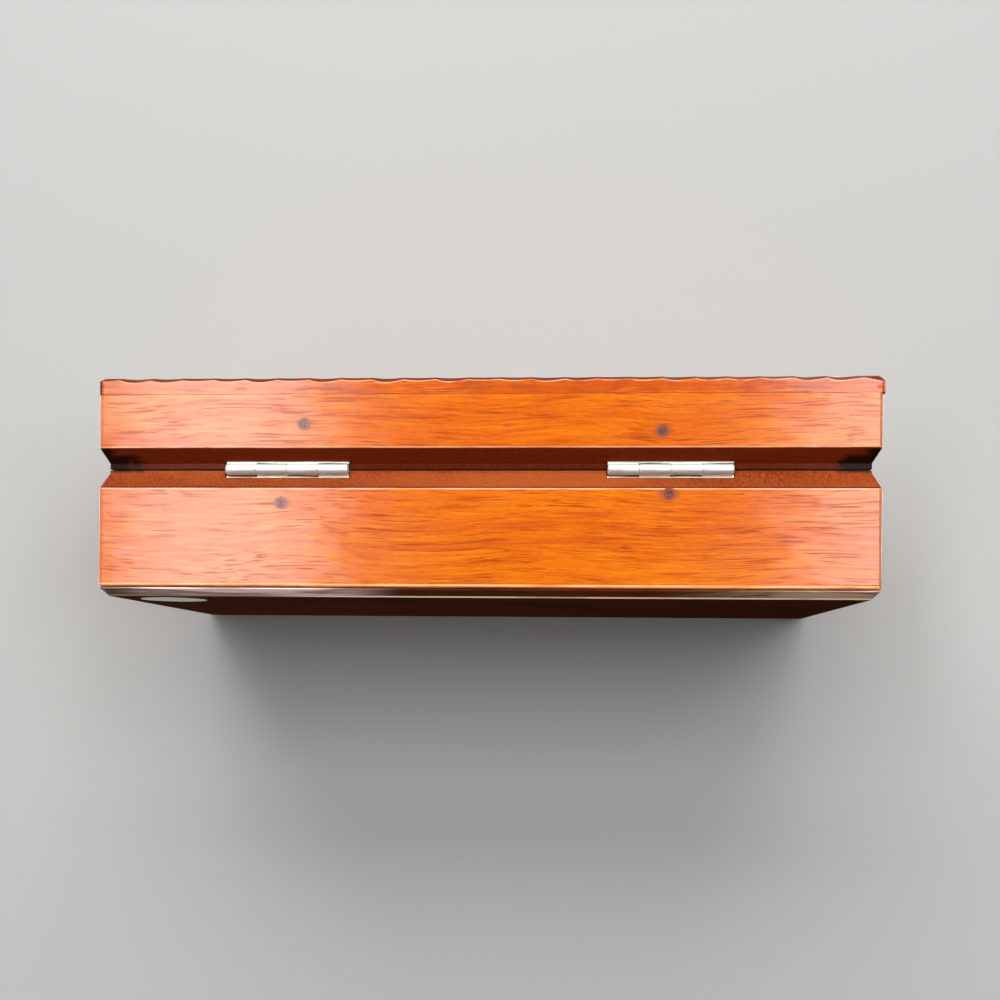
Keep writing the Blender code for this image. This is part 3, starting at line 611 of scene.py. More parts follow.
def field_loop(inset):
    """The field's outline, with its hollow corners, at an inset from where its slope starts."""
    radius = FIELD_CORNER + inset
    first = math.asin(inset / radius)
    turns = np.linspace(first, math.pi / 2 - first, FIELD_CORNER_POINTS)
    arcs = []
    for i, (sx, sy) in enumerate(CORNERS):
        x = sx * (FIELD_X - radius * np.cos(turns))
        y = sy * (FIELD_Y - radius * np.sin(turns))
        arcs.append(np.stack([x, y], 1)[::-1 if i % 2 else 1])
    loop = []
    for arc, after in zip(arcs, arcs[1:] + arcs[:1]):
        start, end = arc[-1], after[0]
        count = max(2, int(np.linalg.norm(end - start) / SLOPE_STEP))
        loop += [arc, start + (end - start) * np.linspace(0, 1, count + 1)[1:-1, None]]
    return np.concatenate(loop)


def circle_loop(radius, count):
    turns = 2 * math.pi * np.arange(count) / count
    return np.stack([radius * np.cos(turns), radius * np.sin(turns)], 1)


def carving_lines(leaves):
    """The closed loops and the open lines that the carved surface's edges follow."""
    loops = [outline_loop()] + [border_loop(share) for share in BORDER_RINGS]
    loops += [rectangle_loop(LINE_INSET + side * LINE_WIDTH / 2) for side in (-1, 0, 1)]
    loops += [field_loop(FIELD_SLOPE * share) for share in FIELD_RINGS]
    loops += [circle_loop(BUTTON_RADIUS * share, BUTTON_SIDES) for share in BUTTON_RINGS]
    loops += [circle_loop(BUTTON_RADIUS * share, BUTTON_SIDES // 2) for share in BUTTON_INNER_RINGS]
    lines = []
    for facing in (1, -1):
        x = facing * np.linspace(ROSETTE_RADIUS, SPRAY_TIP, STEM_POINTS)
        for share in STEM_LINES:
            lines.append(np.stack([x, np.full_like(x, share * STEM_WIDTH / 2)], 1))
    for leaf in leaves:
        loop, inner = leaf_lines(leaf)
        loops.append(loop)
        lines += inner
    return loops, lines


def ground_points():
    rows = [np.linspace(-half, half, int(half * 2 / GROUND_STEP)) for half in (FIELD_X, FIELD_Y)]
    grid_x, grid_y = np.meshgrid(*rows)
    grid_x[1::2] += GROUND_STEP / 2
    x, y = grid_x.ravel(), grid_y.ravel()
    keep = field_inset(x, y) > FIELD_SLOPE * 1.2
    return np.stack([x[keep], y[keep]], 1)


def flat_top(leaves):
    """The lid's top as flat triangles, with an edge along each line of the carving."""
    loops, lines = carving_lines(leaves)
    points = []
    edges = []
    first = 0
    for number, line in enumerate(loops + lines):
        points.append(line)
        last = first + len(line) - 1
        edges += [(i, i + 1) for i in range(first, last)]
        if number < len(loops):
            edges.append((last, first))
        first = last + 1
    points.append(ground_points())
    flat = [Vector(point) for point in np.concatenate(points)]
    placed, _, faces, *_ = delaunay_2d_cdt(flat, edges, [], 1, 0.002 * MM)
    return np.array([(point.x, point.y) for point in placed]), faces


def finish_mesh(bm, name, sharp_degrees=None):
    """Turns the faces outwards. The shading is smooth between edges sharper than the angle, if given."""
    bmesh.ops.recalc_face_normals(bm, faces=bm.faces)
    mesh = bpy.data.meshes.new(name)
    bm.to_mesh(mesh)
    bm.free()
    if sharp_degrees:
        mesh.shade_smooth()
        mesh.set_sharp_from_angle(angle=math.radians(sharp_degrees))
    return mesh


def build_board():
    leaves = rosette_leaves() + spray_leaves() + fan_leaves()
    cuts = nicks()
    places, faces = flat_top(leaves + cuts)
    z, hollow = surface(places[:, 0].copy(), places[:, 1].copy(), leaves, cuts)
    past = unit((-places[:, 0] - HALF_X + OVERHANG_REACH) / OVERHANG_REACH)
    places[:, 0] -= OVERHANG * past ** 2
    bm = bmesh.new()
    hollow_layer = bm.verts.layers.float.new("hollow")
    edge_layer = bm.verts.layers.float.new("edge")
    verts = []
    for (x, y), height, dark in zip(places, z, hollow):
        vert = bm.verts.new((x, y, height))
        inset = min(HALF_X - x, HALF_X + OVERHANG + x, HALF_Y - abs(y))
        vert[hollow_layer] = dark if inset > 0.05 * MM else 0
        vert[edge_layer] = max(0, 1 - inset / EDGE_REACH)
        verts.append(vert)
    for face in faces:
        bm.faces.new([verts[i] for i in face])
    rim = [edge for edge in bm.edges if edge.is_boundary]
    skirt = bmesh.ops.extrude_edge_only(bm, edges=rim)["geom"]
    for vert in (item for item in skirt if isinstance(item, bmesh.types.BMVert)):
        vert.co.z = BOARD_BOTTOM
        vert[edge_layer] = 0
    bmesh.ops.holes_fill(bm, edges=[edge for edge in bm.edges if edge.is_boundary], sides=0)
    return finish_mesh(bm, "carved lid board", BOARD_SHARP)


def add_object(name, data):
    item = bpy.data.objects.new(name, data)
    bpy.context.scene.collection.objects.link(item)
    return item


def add_piece(name, mesh, body):
    piece = add_object(name, mesh)
    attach(piece, body)
    return piece


def add_carved_board():
    board = add_piece("carved_board", build_board(), "lid")
    board.data.materials.append(carved_wood())
    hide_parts("carved_lid_board")


# Hinges, filled pin holes and sticker, finer than in the frame


def turns(sides):
    return [2 * math.pi * i / sides for i in range(sides)]


def loft(bm, rings, closed=False):
    """Skins rings of points. It caps both ends, or joins them where the loft is closed."""
    rows = [[bm.verts.new(point) for point in ring] for ring in rings]
    following = rows[1:] + rows[:1] if closed else rows[1:]
    for row, after in zip(rows, following):
        for i in range(len(row)):
            j = (i + 1) % len(row)
            bm.faces.new((row[i], row[j], after[j], after[i]))
    if not closed:
        bm.faces.new(list(reversed(rows[0])))
        bm.faces.new(rows[-1])


def knuckle_spans(x_centre):
    """The (low, high) X of each knuckle, from the box's right to its left."""
    pitch = HINGE_LENGTH / KNUCKLES
    start = x_centre + HINGE_LENGTH / 2
    return [(start - (i + 1) * pitch, start - i * pitch) for i in range(KNUCKLES)]


def rounded_end(end, inwards, size):
    """Points of a knuckle's profile, as X and radius, from its side round to its end."""
    points = []
    for i in range(ROUNDING_STEPS + 1):
        turn = math.pi / 2 * i / ROUNDING_STEPS
        x = end + inwards * size * (1 - math.sin(turn))
        points.append((x, KNUCKLE_RADIUS - size * (1 - math.cos(turn))))
    return points


def add_knuckle(bm, low, high, round_low, round_high):
    """A rolled knuckle: a tube with rounded ends."""
    profile = [(low, BORE_RADIUS), *reversed(rounded_end(low, 1, round_low))]
    profile += [*rounded_end(high, -1, round_high), (high, BORE_RADIUS)]
    rings = []
    for x, away in profile:
        circle = [(away * math.cos(turn), away * math.sin(turn)) for turn in turns(KNUCKLE_SIDES)]
        rings.append([(x, JOINT_Y + y, JOINT_Z + z) for y, z in circle])
    loft(bm, rings, closed=True)


def leaf_section(x, rise, turn):
    """A leaf's section at one place along the hinge, with soft corners at its root."""
    outline = (
        (LEAF_BACK, rise + LEAF_ARRIS),
        (LEAF_BACK + LEAF_ARRIS, rise),
        (LEAF_FRONT - 2 * LEAF_ARRIS, rise),
        (LEAF_FRONT - 0.6 * LEAF_ARRIS, rise + 0.6 * LEAF_ARRIS),
        (LEAF_FRONT, rise + 2 * LEAF_ARRIS),
        (LEAF_FRONT, LEAF_REACH),
        (LEAF_BACK, LEAF_REACH),
    )
    return [(x, y, JOINT_Z + turn * z) for y, z in outline]


def build_leaf(name, x_centre, up):
    """One leaf with its two knuckles. Its edge along the barrel is slightly wavy, as pressed sheet is."""
    bm = bmesh.new()
    turn = 1 if up else -1
    rings = []
    for i, (low, high) in reversed(list(enumerate(knuckle_spans(x_centre)))):
        own = (i % 2 == 0) == up
        root = LEAF_ROOT if own else NOTCH
        grow = KNUCKLE_GAP if own else -KNUCKLE_GAP
        for step in range(LEAF_STEPS + 1):
            x = low + grow + (high - low - 2 * grow) * step / LEAF_STEPS
            x = min(max(x, x_centre - HINGE_LENGTH / 2), x_centre + HINGE_LENGTH / 2)
            wave = 0 if own else NOTCH_WAVE * math.sin(x / NOTCH_WAVE_LENGTH + i)
            rings.append(leaf_section(x, root + wave, turn))
        if own:
            ends = [END_ROUNDING if last else KNUCKLE_ROUNDING for last in (i == KNUCKLES - 1, i == 0)]
            add_knuckle(bm, low + KNUCKLE_GAP / 2, high - KNUCKLE_GAP / 2, *ends)
    loft(bm, rings)
    return finish_mesh(bm, name, LEAF_SHARP)


def build_plug(name, centre_x, centre_z):
    """Filler, a little uneven and sunk below the face, filling the hole to its rim."""
    seed = centre_x + centre_z
    rings = []
    for share, depth in PLUG_PROFILE:
        ring = []
        for i, turn in enumerate(turns(PLUG_SIDES)):
            radius = PLUG_RADIUS * share * (1 + PLUG_WOBBLE * wobble(seed, i))
            sunk = depth + PLUG_UNEVENNESS * (1 + wobble(seed + 1, i))
            x = centre_x + radius * math.cos(turn)
            ring.append((x, HALF_Y - sunk, centre_z + radius * math.sin(turn)))
        rings.append(ring)
    bm = bmesh.new()
    loft(bm, rings)
    return finish_mesh(bm, name, PLUG_SHARP)


def add_hinges():
    metal = nickel()
    for side in SIDES:
        x_centre, _ = node_place(f"{side}_hinge_pin")
        for body, up in (("lid", True), ("base", False)):
            name = f"{side}_{body}_hinge_leaf"
            leaf = add_piece(name, build_leaf(name, x_centre, up), body)
            leaf.data.materials.append(metal)
            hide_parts(f"{side}_hinge_{body}_leaf")
        paint(f"{side}_hinge_pin", metal)


def add_plugs():
    for body in ("lid", "base"):
        for side in SIDES:
            x, z = node_place(f"{side}_{body}_plug")
            name = f"{side}_{body}_pin_filling"
            plug = add_piece(name, build_plug(name, x, z), body)
            plug.data.materials.append(filler(x, z))
            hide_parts(f"{side}_{body}_plug")


def add_sticker():
    """A blank round paper label with a slightly uneven edge."""
    rings = []
    for share, z in ((1, 0), *((share, -STICKER_THICKNESS) for share in STICKER_SHARES)):
        ring = []
        for i, turn in enumerate(turns(STICKER_SIDES)):
            uneven = STICKER_WOBBLE * wobble(3, i) if share > 0.9 else 0
            radius = STICKER_RADIUS * (share + uneven)
            ring.append((STICKER_X + radius * math.cos(turn), STICKER_Y + radius * math.sin(turn), z))
        rings.append(ring)
    bm = bmesh.new()
    loft(bm, rings)
    mesh = finish_mesh(bm, "sticker")
    mesh.materials.append(paper())
    add_piece("round_sticker", mesh, "base")


# Materials


class Tree:
    """A node tree. A value put into it is a number, a colour or another node's output, which is linked."""

    def __init__(self, owner):
        owner.use_nodes = True
        self.owner = owner
        self.nodes = owner.node_tree.nodes
        self.links = owner.node_tree.links

    def put(self, socket, value):
        if isinstance(value, bpy.types.NodeSocket):
            self.links.new(value, socket)
        elif value is not None:
            socket.default_value = value

    def add(self, kind, *values, **settings):
        """Values go to the inputs in order. A setting goes to the input or else the property it names."""
        node = self.nodes.new("ShaderNode" + kind)
        for key, value in settings.items():
            if key in node.inputs:
                self.put(node.inputs[key], value)
            else:
                setattr(node, key, value)
        for socket, value in zip(node.inputs, values):
            self.put(socket, value)
        return node

    def mix(self, factor, a, b, blend="MIX"):
        node = self.add("Mix", factor, data_type="RGBA", blend_type=blend)
        self.put(node.inputs[6], a)
        self.put(node.inputs[7], b)
        return node.outputs[2]


class Graph(Tree):
    """A material's nodes, with the patterns that run through its solid and go with it."""

    def __init__(self, name):
        super().__init__(bpy.data.materials.new(name))
        self.shader = self.nodes["Principled BSDF"]
        self.place = self.add("TexCoord").outputs["Object"]
        self.x, self.y, self.z = self.add("SeparateXYZ", self.place).outputs

    def math(self, operation, a, b=None, clamp=False):
        return self.add("Math", a, b, operation=operation, use_clamp=clamp).outputs[0]

    def plus(self, base, value, factor):
        return self.add("Math", value, factor, base, operation="MULTIPLY_ADD").outputs[0]

    def chain(self, operation, result, *others):
        for value in others:
            result = self.math(operation, result, value)
        return result

    def times(self, *values):
        return self.chain("MULTIPLY", *values)

    def most(self, *values):
        return self.chain("MAXIMUM", *values)

    def span(self, value, low, high, start=0.0, end=1.0):
        """Goes smoothly from start to end while value goes from low to high."""
        limits = (low, high, start, end)
        node = self.add("MapRange", value, *limits, interpolation_type="SMOOTHSTEP")
        return node.outputs["Result"]

    def band(self, value, low, high, soft):
        """1 between low and high, fading to 0 over the soft length outside them."""
        return self.times(self.span(value, low - soft, low), self.span(value, high, high + soft, 1, 0))

    def tint(self, shade, *layers):
        """The shade under layers, each another shade and the shares that multiply to how much it covers."""
        for other, *shares in layers:
            shade = self.mix(self.times(*shares), shade, other)
        return shade

    def noise(self, scale, shift=None, detail=2.0, roughness=0.5, distortion=0.0, output="Fac"):
        """Noise with so many features in a metre along X, Y and Z."""
        place = self.add("Mapping", self.place, shift, None, scale).outputs[0]
        values = (place, None, 1.0, detail, roughness)
        return self.add("TexNoise", *values, Distortion=distortion).outputs[output]

    def bump(self, height, distance, normal=None):
        return self.add("Bump", None, distance, Height=height, Normal=normal).outputs["Normal"]

    def finish(self, shade, roughness, normal, others):
        inputs = {"Base Color": shade, "Roughness": roughness, "Normal": normal, **others}
        for name, value in inputs.items():
            self.put(self.shader.inputs[name], value)
        return self.owner


def colour(red, green, blue):
    """An on-screen colour from 0 to 255 as the linear colour that a shader takes."""
    linear = []
    for channel in (red, green, blue):
        share = channel / 255
        linear.append(share / 12.92 if share <= 0.04045 else ((share + 0.055) / 1.055) ** 2.4)
    return (*linear, 1.0)


LACQUER_GOLD = colour(232, 134, 6)
LACQUER_LIGHT = colour(212, 105, 2)
LACQUER_MIDDLE = colour(202, 90, 2)
LACQUER_RED = colour(182, 66, 4)
LACQUER_DARK = colour(150, 42, 0)
LACQUER_BROWN = colour(126, 24, 0)
ARRIS_WEAR_AND_HIGHLIGHT = colour(226, 160, 112)
FOOT_WEAR_AND_HIGHLIGHT = colour(236, 186, 136)
CORNER_WEAR_AND_REFLECTION = colour(200, 160, 140)
GROOVE_BLACK = colour(26, 7, 3)
GROOVE_DARK = colour(86, 24, 5)
GROOVE_BROWN = colour(140, 60, 20)
GROOVE_PALE = colour(164, 80, 32)
DARK_SCRATCH = colour(104, 36, 12)
PALE_SCRATCH = colour(110, 42, 16)
STAINED = colour(146, 72, 46)
BARE_WOOD = colour(192, 130, 80)
BARE_DARK = colour(150, 90, 50)
BARE_BROWN = colour(112, 60, 32)
CARVED_SIDE = colour(150, 60, 22)
CARVED_STAIN = colour(84, 28, 10)
CARVED_CREST = colour(238, 150, 92)
CARVED_RIM = colour(96, 46, 24)
CARVED_WORN = colour(244, 190, 146)
BOTTOM_BLACK = colour(34, 14, 8)
BOTTOM_DARK = colour(66, 32, 16)
BOTTOM_BROWN = colour(88, 36, 18)
BOTTOM_WEAR_AND_HIGHLIGHT = colour(240, 216, 178)
PAINTED_REFLECTION_RIGHT = colour(214, 186, 178)
PAINTED_REFLECTION_LEFT = colour(180, 146, 122)
FILLER_PALE = colour(128, 74, 58)
FILLER_DARK = colour(92, 42, 38)
PAPER_PALE = colour(248, 246, 238)
PAPER_DARK = colour(232, 226, 212)
NICKEL_BRIGHT = (0.93, 0.91, 0.83, 1)
NICKEL_BRUSHED = (0.78, 0.76, 0.68, 1)
NICKEL_DULL = (0.5, 0.48, 0.43, 1)
LACQUER_GLOSS = 0.16
GRAIN_WANDER = 5 * MM


class Wood(Graph):
    """Solid wood with its grain along one axis. Insets and outsets are measured from the box's sides."""

    def __init__(self, name, axis, seed):
        super().__init__(name)
        self.axis = axis
        self.seed = seed
        place = self.noise((22, 22, 22), (seed * 5.3, 0, seed), 1.0, output="Color")
        for operation, value in (("MULTIPLY", (GRAIN_WANDER,) * 3), ("ADD", self.place)):
            place = self.add("VectorMath", place, value, operation=operation).outputs[0]
        self.place = place
        self.inset_x = self.math("SUBTRACT", HALF_X, self.math("ABSOLUTE", self.x))
        self.inset_y = self.math("SUBTRACT", HALF_Y, self.math("ABSOLUTE", self.y))
        self.inset = self.math("MINIMUM", self.inset_x, self.inset_y)
        self.outset = self.math("MAXIMUM", self.inset_x, self.inset_y)

    def grain(self, along, across, layer, *settings):
        """Noise with so many features in a metre along the grain and across it."""
        scale = [across, across, across]
        scale["xyz".index(self.axis)] = along
        shift = (self.seed * 7.3 + layer * 3.1, self.seed * 2.9 + layer * 5.7, self.seed * 4.1)
        return self.noise(scale, shift, *settings)

    def patches(self):
        return self.grain(16, 55, 2, 3.0, 0.55, 0.3)

    def bands(self):
        return self.grain(7, 260, 3, 3.0, 0.6, 0.15)

    def streaks(self):
        return self.grain(60, 1150, 4, 3.0, 0.66, 0.2)

    def dashes(self):
        """Short dark lines, in groups."""
        lines = self.span(self.grain(75, 2300, 5, 1.0, 0.5, 0.1), 0.55, 0.67)
        groups = self.span(self.grain(40, 150, 6, 1.0), 0.3, 0.56)
        return self.times(lines, groups)

    def fibres(self):
        return self.grain(420, 7500, 7, 2.0, 0.6)

    def plugs_halo(self, plugs):
        """Darker, stained wood close round each filled pin hole, further along the grain than across it."""
        ragged = self.grain(300, 900, 12)
        rings = []
        for x, z in plugs:
            aside = self.math("DIVIDE", self.math("SUBTRACT", self.x, x), 1.4)
            up = self.math("SUBTRACT", self.z, z)
            away = self.math("SQRT", self.math("ADD", self.times(aside, aside), self.times(up, up)))
            rings.append(self.span(self.plus(away, ragged, 1.2 * MM), 1.8 * MM, 3.0 * MM, 1, 0))
        return self.most(*rings)

    def scratches(self):
        """Fine marks across the boards, from the tool that cut the V groove."""
        return self.noise((3200, 3200, 130), (self.seed, 0, 0), 2.0, 0.6)

    def groove(self):
        """1 in the V groove at the joint, and 0 elsewhere."""
        return self.band(self.z, GROOVE_LOW, GROOVE_HIGH, 0.08 * MM)


def face_colour(wood):
    """Orange lacquer over straight grain, with redder patches and short dark lines."""
    streaks = wood.streaks()
    face = wood.tint(
        LACQUER_MIDDLE,
        (LACQUER_LIGHT, wood.span(wood.patches(), 0.3, 0.66)),
        (LACQUER_RED, wood.span(wood.bands(), 0.48, 0.7), 0.6),
        (LACQUER_DARK, wood.span(streaks, 0.5, 0.76), 0.62),
        (LACQUER_GOLD, wood.span(streaks, 0.48, 0.3), 0.45),
        (LACQUER_BROWN, wood.dashes(), 0.56),
    )
    return wood.mix(1.0, face, wood.span(wood.fibres(), 0.3, 0.7, 0.84, 1.1), "MULTIPLY")


def bare_colour(wood):
    """The plain, unlacquered wood inside the box."""
    return wood.tint(
        BARE_WOOD,
        (BARE_DARK, wood.span(wood.patches(), 0.3, 0.7), 0.35),
        (BARE_DARK, wood.span(wood.bands(), 0.42, 0.66), 0.6),
        (BARE_BROWN, wood.span(wood.streaks(), 0.46, 0.74), 0.6),
        (BARE_BROWN, wood.dashes(), 0.5),
    )


def groove_colour(wood, face):
    """The V groove at the joint: dark above the joint, partly stain and partly painted shade, and blacker
    towards the crease there; brown and scratched below it; blotched black towards its ends.
    """
    scratch = wood.span(wood.scratches(), 0.38, 0.66)
    brown = wood.mix(scratch, GROOVE_BROWN, DARK_SCRATCH)
    brown = wood.tint(brown, (GROOVE_PALE, wood.span(wood.patches(), 0.4, 0.6), 0.5))
    # Above the joint the chamfer under the lid's edge faces down. Its dark colour is partly stain and
    # partly painted shade, and its blackening towards the crease at its foot is painted shade
    dark = wood.tint(GROOVE_DARK, (PALE_SCRATCH, scratch, 0.5))
    dark = wood.mix(wood.span(wood.z, 33.2 * MM, 35.4 * MM, 0.4, 0), dark, GROOVE_BLACK)
    groove = wood.mix(wood.span(wood.z, 32.7 * MM, 32.9 * MM), brown, dark)
    # Blackened in blotches towards the ends of the groove and in its corners
    end_blotches = wood.times(wood.noise((160, 160, 320), (3, 1, 2)), 0.7)
    end_blotches = wood.plus(end_blotches, wood.span(wood.outset, 20 * MM, 4 * MM), 0.45)
    corner = wood.span(wood.outset, 6 * MM, 2 * MM)
    corner = wood.times(corner, wood.band(wood.z, JOINT_Z, 37.4 * MM, 1 * MM))
    low = wood.most(wood.band(wood.z, JOINT_Z, 35.8 * MM, 1.2 * MM), corner)
    foot = wood.band(wood.z, GROOVE_LOW + 0.05 * MM, GROOVE_LOW + 0.25 * MM, 0.2 * MM)
    groove = wood.tint(groove, (GROOVE_BLACK, wood.span(end_blotches, 0.56, 0.74), low), (GROOVE_DARK, foot))
    return wood.mix(wood.groove(), face, groove)


def worn_and_highlit_edges(wood, face):
    """Pale lines on the arrises, at the foot and at the corners: partly lacquer worn off by handling,
    partly painted highlight on the rounded arrises and the foot, and painted reflection in the rounded
    corners.
    """
    uneven = wood.span(wood.grain(90, 90, 8), 0.3, 0.6, 0.35, 1)
    upper = wood.band(wood.z, GROOVE_HIGH, GROOVE_HIGH + 0.25 * MM, 0.15 * MM)
    lower = wood.band(wood.z, GROOVE_LOW - 0.35 * MM, GROOVE_LOW - 0.1 * MM, 0.15 * MM)
    foot = wood.band(wood.z, BOTTOM_TOP + 0.7 * MM, BOTTOM_TOP + 1 * MM, 0.22 * MM)
    corner = wood.span(wood.math("ADD", wood.inset_x, wood.inset_y), 0.6 * MM, 1.3 * MM, 0.5, 0)
    # Painted highlight and painted reflection, mixed with real wear, in these pale lines
    return wood.tint(
        face,
        (ARRIS_WEAR_AND_HIGHLIGHT, wood.most(upper, lower), uneven, 0.75),
        (FOOT_WEAR_AND_HIGHLIGHT, foot, uneven, 0.9),
        (CORNER_WEAR_AND_REFLECTION, corner, uneven),
    )


def finish_wood(wood, shade, inside, dull, carved=None):
    """Bump and gloss of all the wood. The lacquer is a clear coat, missing inside and thin where dull."""
    streaks = wood.streaks()
    dashes = wood.dashes()
    height = wood.math("ADD", wood.times(streaks, -0.7), wood.times(dashes, -0.6))
    normal = wood.bump(height, 0.028 * MM)
    normal = wood.bump(wood.grain(45, 210, 9, 3.0, 0.55), 0.2 * MM, normal)
    rough = wood.span(streaks, 0.3, 0.8, 0.34, 0.5)
    rough = wood.plus(rough, wood.most(inside, dull), 0.2)
    if carved is not None:
        matted = wood.times(carved, wood.noise((1500, 1500, 1500), None, 1.0))
        normal = wood.bump(matted, 0.25 * MM, normal)
        rough = wood.plus(rough, carved, 0.15)
    coat = wood.math("SUBTRACT", 0.9, wood.most(inside, wood.times(dull, 0.85)), clamp=True)
    pores = wood.plus(wood.times(dashes, 0.25), wood.span(streaks, 0.45, 0.75), 0.2)
    coat = wood.times(coat, wood.math("SUBTRACT", 1, pores))
    lacquer = {"Coat Weight": coat, "Coat Normal": normal, "Coat Roughness": LACQUER_GLOSS}
    return wood.finish(shade, rough, normal, {"Specular IOR Level": 0.02, **lacquer})


def lacquered_wood(name, axis, seed, plugs=()):
    wood = Wood(name, axis, seed)
    inside = wood.span(wood.inset, WALL - 0.7 * MM, WALL - 0.3 * MM)
    joint = wood.band(wood.z, JOINT_Z - 0.3 * MM, JOINT_Z + 0.3 * MM, 0.1 * MM)
    joint = wood.times(joint, wood.span(wood.inset, 2.4 * MM, 2.9 * MM))
    face = face_colour(wood)
    if plugs:
        face = wood.tint(face, (STAINED, wood.plugs_halo(plugs), 0.6))
    outside = worn_and_highlit_edges(wood, groove_colour(wood, face))
    bare = wood.most(inside, wood.times(joint, 0.75))
    shade = wood.mix(bare, outside, bare_colour(wood))
    return finish_wood(wood, shade, wood.most(inside, joint), wood.groove())


def carved_wood():
    """The carved board: lacquer worn thin on the crests, with dark stain left in every hollow."""
    wood = Wood("carved wood", "x", 5)
    hollow = wood.add("Attribute", attribute_name="hollow").outputs["Fac"]
    edge = wood.add("Attribute", attribute_name="edge").outputs["Fac"]
    face = wood.mix(0.2, face_colour(wood), LACQUER_RED)
    clouds = wood.noise((220, 220, 420), (2, 7, 1), 3.0)
    face = wood.tint(face, (CARVED_SIDE, wood.span(clouds, 0.42, 0.66), 0.45))
    stain = wood.plus(hollow, wood.noise((900, 900, 900)), 0.25)
    top = wood.mix(wood.span(stain, 0.12, 1.0), face, CARVED_STAIN)
    crest = wood.math("ADD", hollow, wood.grain(180, 400, 11))
    top = wood.tint(top, (CARVED_CREST, wood.span(crest, 0.5, 0.25), 0.5))
    rim = wood.span(wood.inset, 2.4 * MM, 3.4 * MM, 1, 0)
    rim = wood.times(wood.span(wood.inset, 0.15 * MM, 0.5 * MM), rim)
    top = wood.tint(top, (CARVED_RIM, rim, 0.55))
    shade = wood.mix(wood.span(wood.inset, 0.02 * MM, 0.1 * MM), face, top)
    uneven = wood.span(wood.grain(150, 150, 8), 0.35, 0.6, 0.15, 1)
    leftwards = wood.span(wood.x, 80 * MM, -40 * MM, 0.45, 1)
    shade = wood.tint(shade, (CARVED_WORN, wood.span(edge, 0.91, 0.97), uneven, leftwards, 0.75))
    under = wood.span(wood.z, RAIL_TOP + 0.26 * MM, RAIL_TOP + 0.22 * MM)
    under = wood.times(under, wood.span(wood.inset, 1 * MM, 2 * MM))
    shade = wood.mix(under, shade, bare_colour(wood))
    dull = wood.most(wood.times(hollow, 0.5), wood.times(rim, 0.95))
    return finish_wood(wood, shade, under, dull, hollow)


def dark_wood():
    """The dark-stained bottom board, with a pale line along its lower edge that is partly wear and partly
    painted highlight, painted reflection on its back chamfer towards both ends, and bare wood inside the
    box.
    """
    wood = Wood("dark stained wood", "x", 9)
    dark = wood.mix(wood.span(wood.patches(), 0.3, 0.7), BOTTOM_DARK, BOTTOM_BROWN)
    dark = wood.tint(dark, (BOTTOM_BLACK, wood.span(wood.streaks(), 0.45, 0.75), 0.7))
    # Painted reflection: pale grey-mauve streaks on the back chamfer towards both ends, standing in for the
    # sheen of the lamps
    reflection_streaks = wood.span(wood.grain(30, 900, 10, 3.0), 0.38, 0.58, 0.3, 1)
    right = wood.times(wood.span(wood.x, 20 * MM, 46 * MM), wood.span(wood.x, 84 * MM, 97 * MM, 1, 0.15))
    left = wood.span(wood.x, -40 * MM, -92 * MM)
    at_back = wood.span(wood.y, 44 * MM, 47 * MM)
    side = wood.times(wood.span(wood.z, 0.2 * MM, 0.5 * MM), at_back)
    dark = wood.tint(dark, (PAINTED_REFLECTION_RIGHT, right, reflection_streaks, side), (PAINTED_REFLECTION_LEFT, left, reflection_streaks, side))
    # Partly wear and partly painted highlight: a cream line along the lower arris, stronger along the back
    uneven = wood.span(wood.grain(50, 50, 8), 0.3, 0.5, 0.5, 1)
    worn = wood.times(wood.band(wood.z, 0.04 * MM, 0.36 * MM, 0.02 * MM), uneven)
    worn = wood.times(worn, wood.span(wood.x, 36 * MM, 60 * MM, 1, 0.25), wood.plus(0.35, at_back, 0.65))
    dark = wood.tint(dark, (BOTTOM_WEAR_AND_HIGHLIGHT, worn, 0.9))
    inside = wood.span(wood.z, BOTTOM_TOP - 0.1 * MM, BOTTOM_TOP - 0.02 * MM)
    inside = wood.times(inside, wood.span(wood.inset, WALL - 1 * MM, WALL))
    shade = wood.mix(inside, dark, bare_colour(wood))
    return finish_wood(wood, shade, inside, wood.span(wood.z, 0.05 * MM, 0.3 * MM, 1, 0))


def nickel():
    """Bright nickel plate, brushed along the barrel and dulled in places."""
    metal = Graph("nickel plate")
    brushed = metal.noise((260, 5200, 5200), None, 2.0, 0.6)
    dull = metal.span(metal.noise((300, 700, 700), (4, 0, 0), 3.0), 0.4, 0.65)
    shade = metal.mix(metal.span(brushed, 0.3, 0.8), NICKEL_BRIGHT, NICKEL_BRUSHED)
    shade = metal.tint(shade, (NICKEL_DULL, dull, 0.3))
    normal = metal.bump(brushed, 0.02 * MM)
    return metal.finish(shade, metal.span(dull, 0, 1, 0.3, 0.52), normal, {"Metallic": 0.6})


def filler(x, z):
    """Dull purple-brown filler in a pin hole, thinning out to the wood's colour at its rim."""
    paste = Graph("purple brown filler")
    grain = paste.noise((1400, 1400, 1400), None, 3.0, 0.6)
    shade = paste.mix(paste.span(grain, 0.3, 0.7), FILLER_PALE, FILLER_DARK)
    middle = (x, HALF_Y, z)
    away = paste.add("VectorMath", paste.place, middle, operation="DISTANCE").outputs["Value"]
    rim = paste.plus(away, grain, 0.8 * MM)
    shade = paste.mix(paste.span(rim, 1.2 * MM, 2.0 * MM), shade, STAINED)
    rough = paste.span(grain, 0.3, 0.7, 0.5, 0.7)
    lacquer = {"Coat Weight": 0.6, "Coat Roughness": LACQUER_GLOSS}
    return paste.finish(shade, rough, paste.bump(grain, 0.06 * MM), {"Specular IOR Level": 0.1, **lacquer})


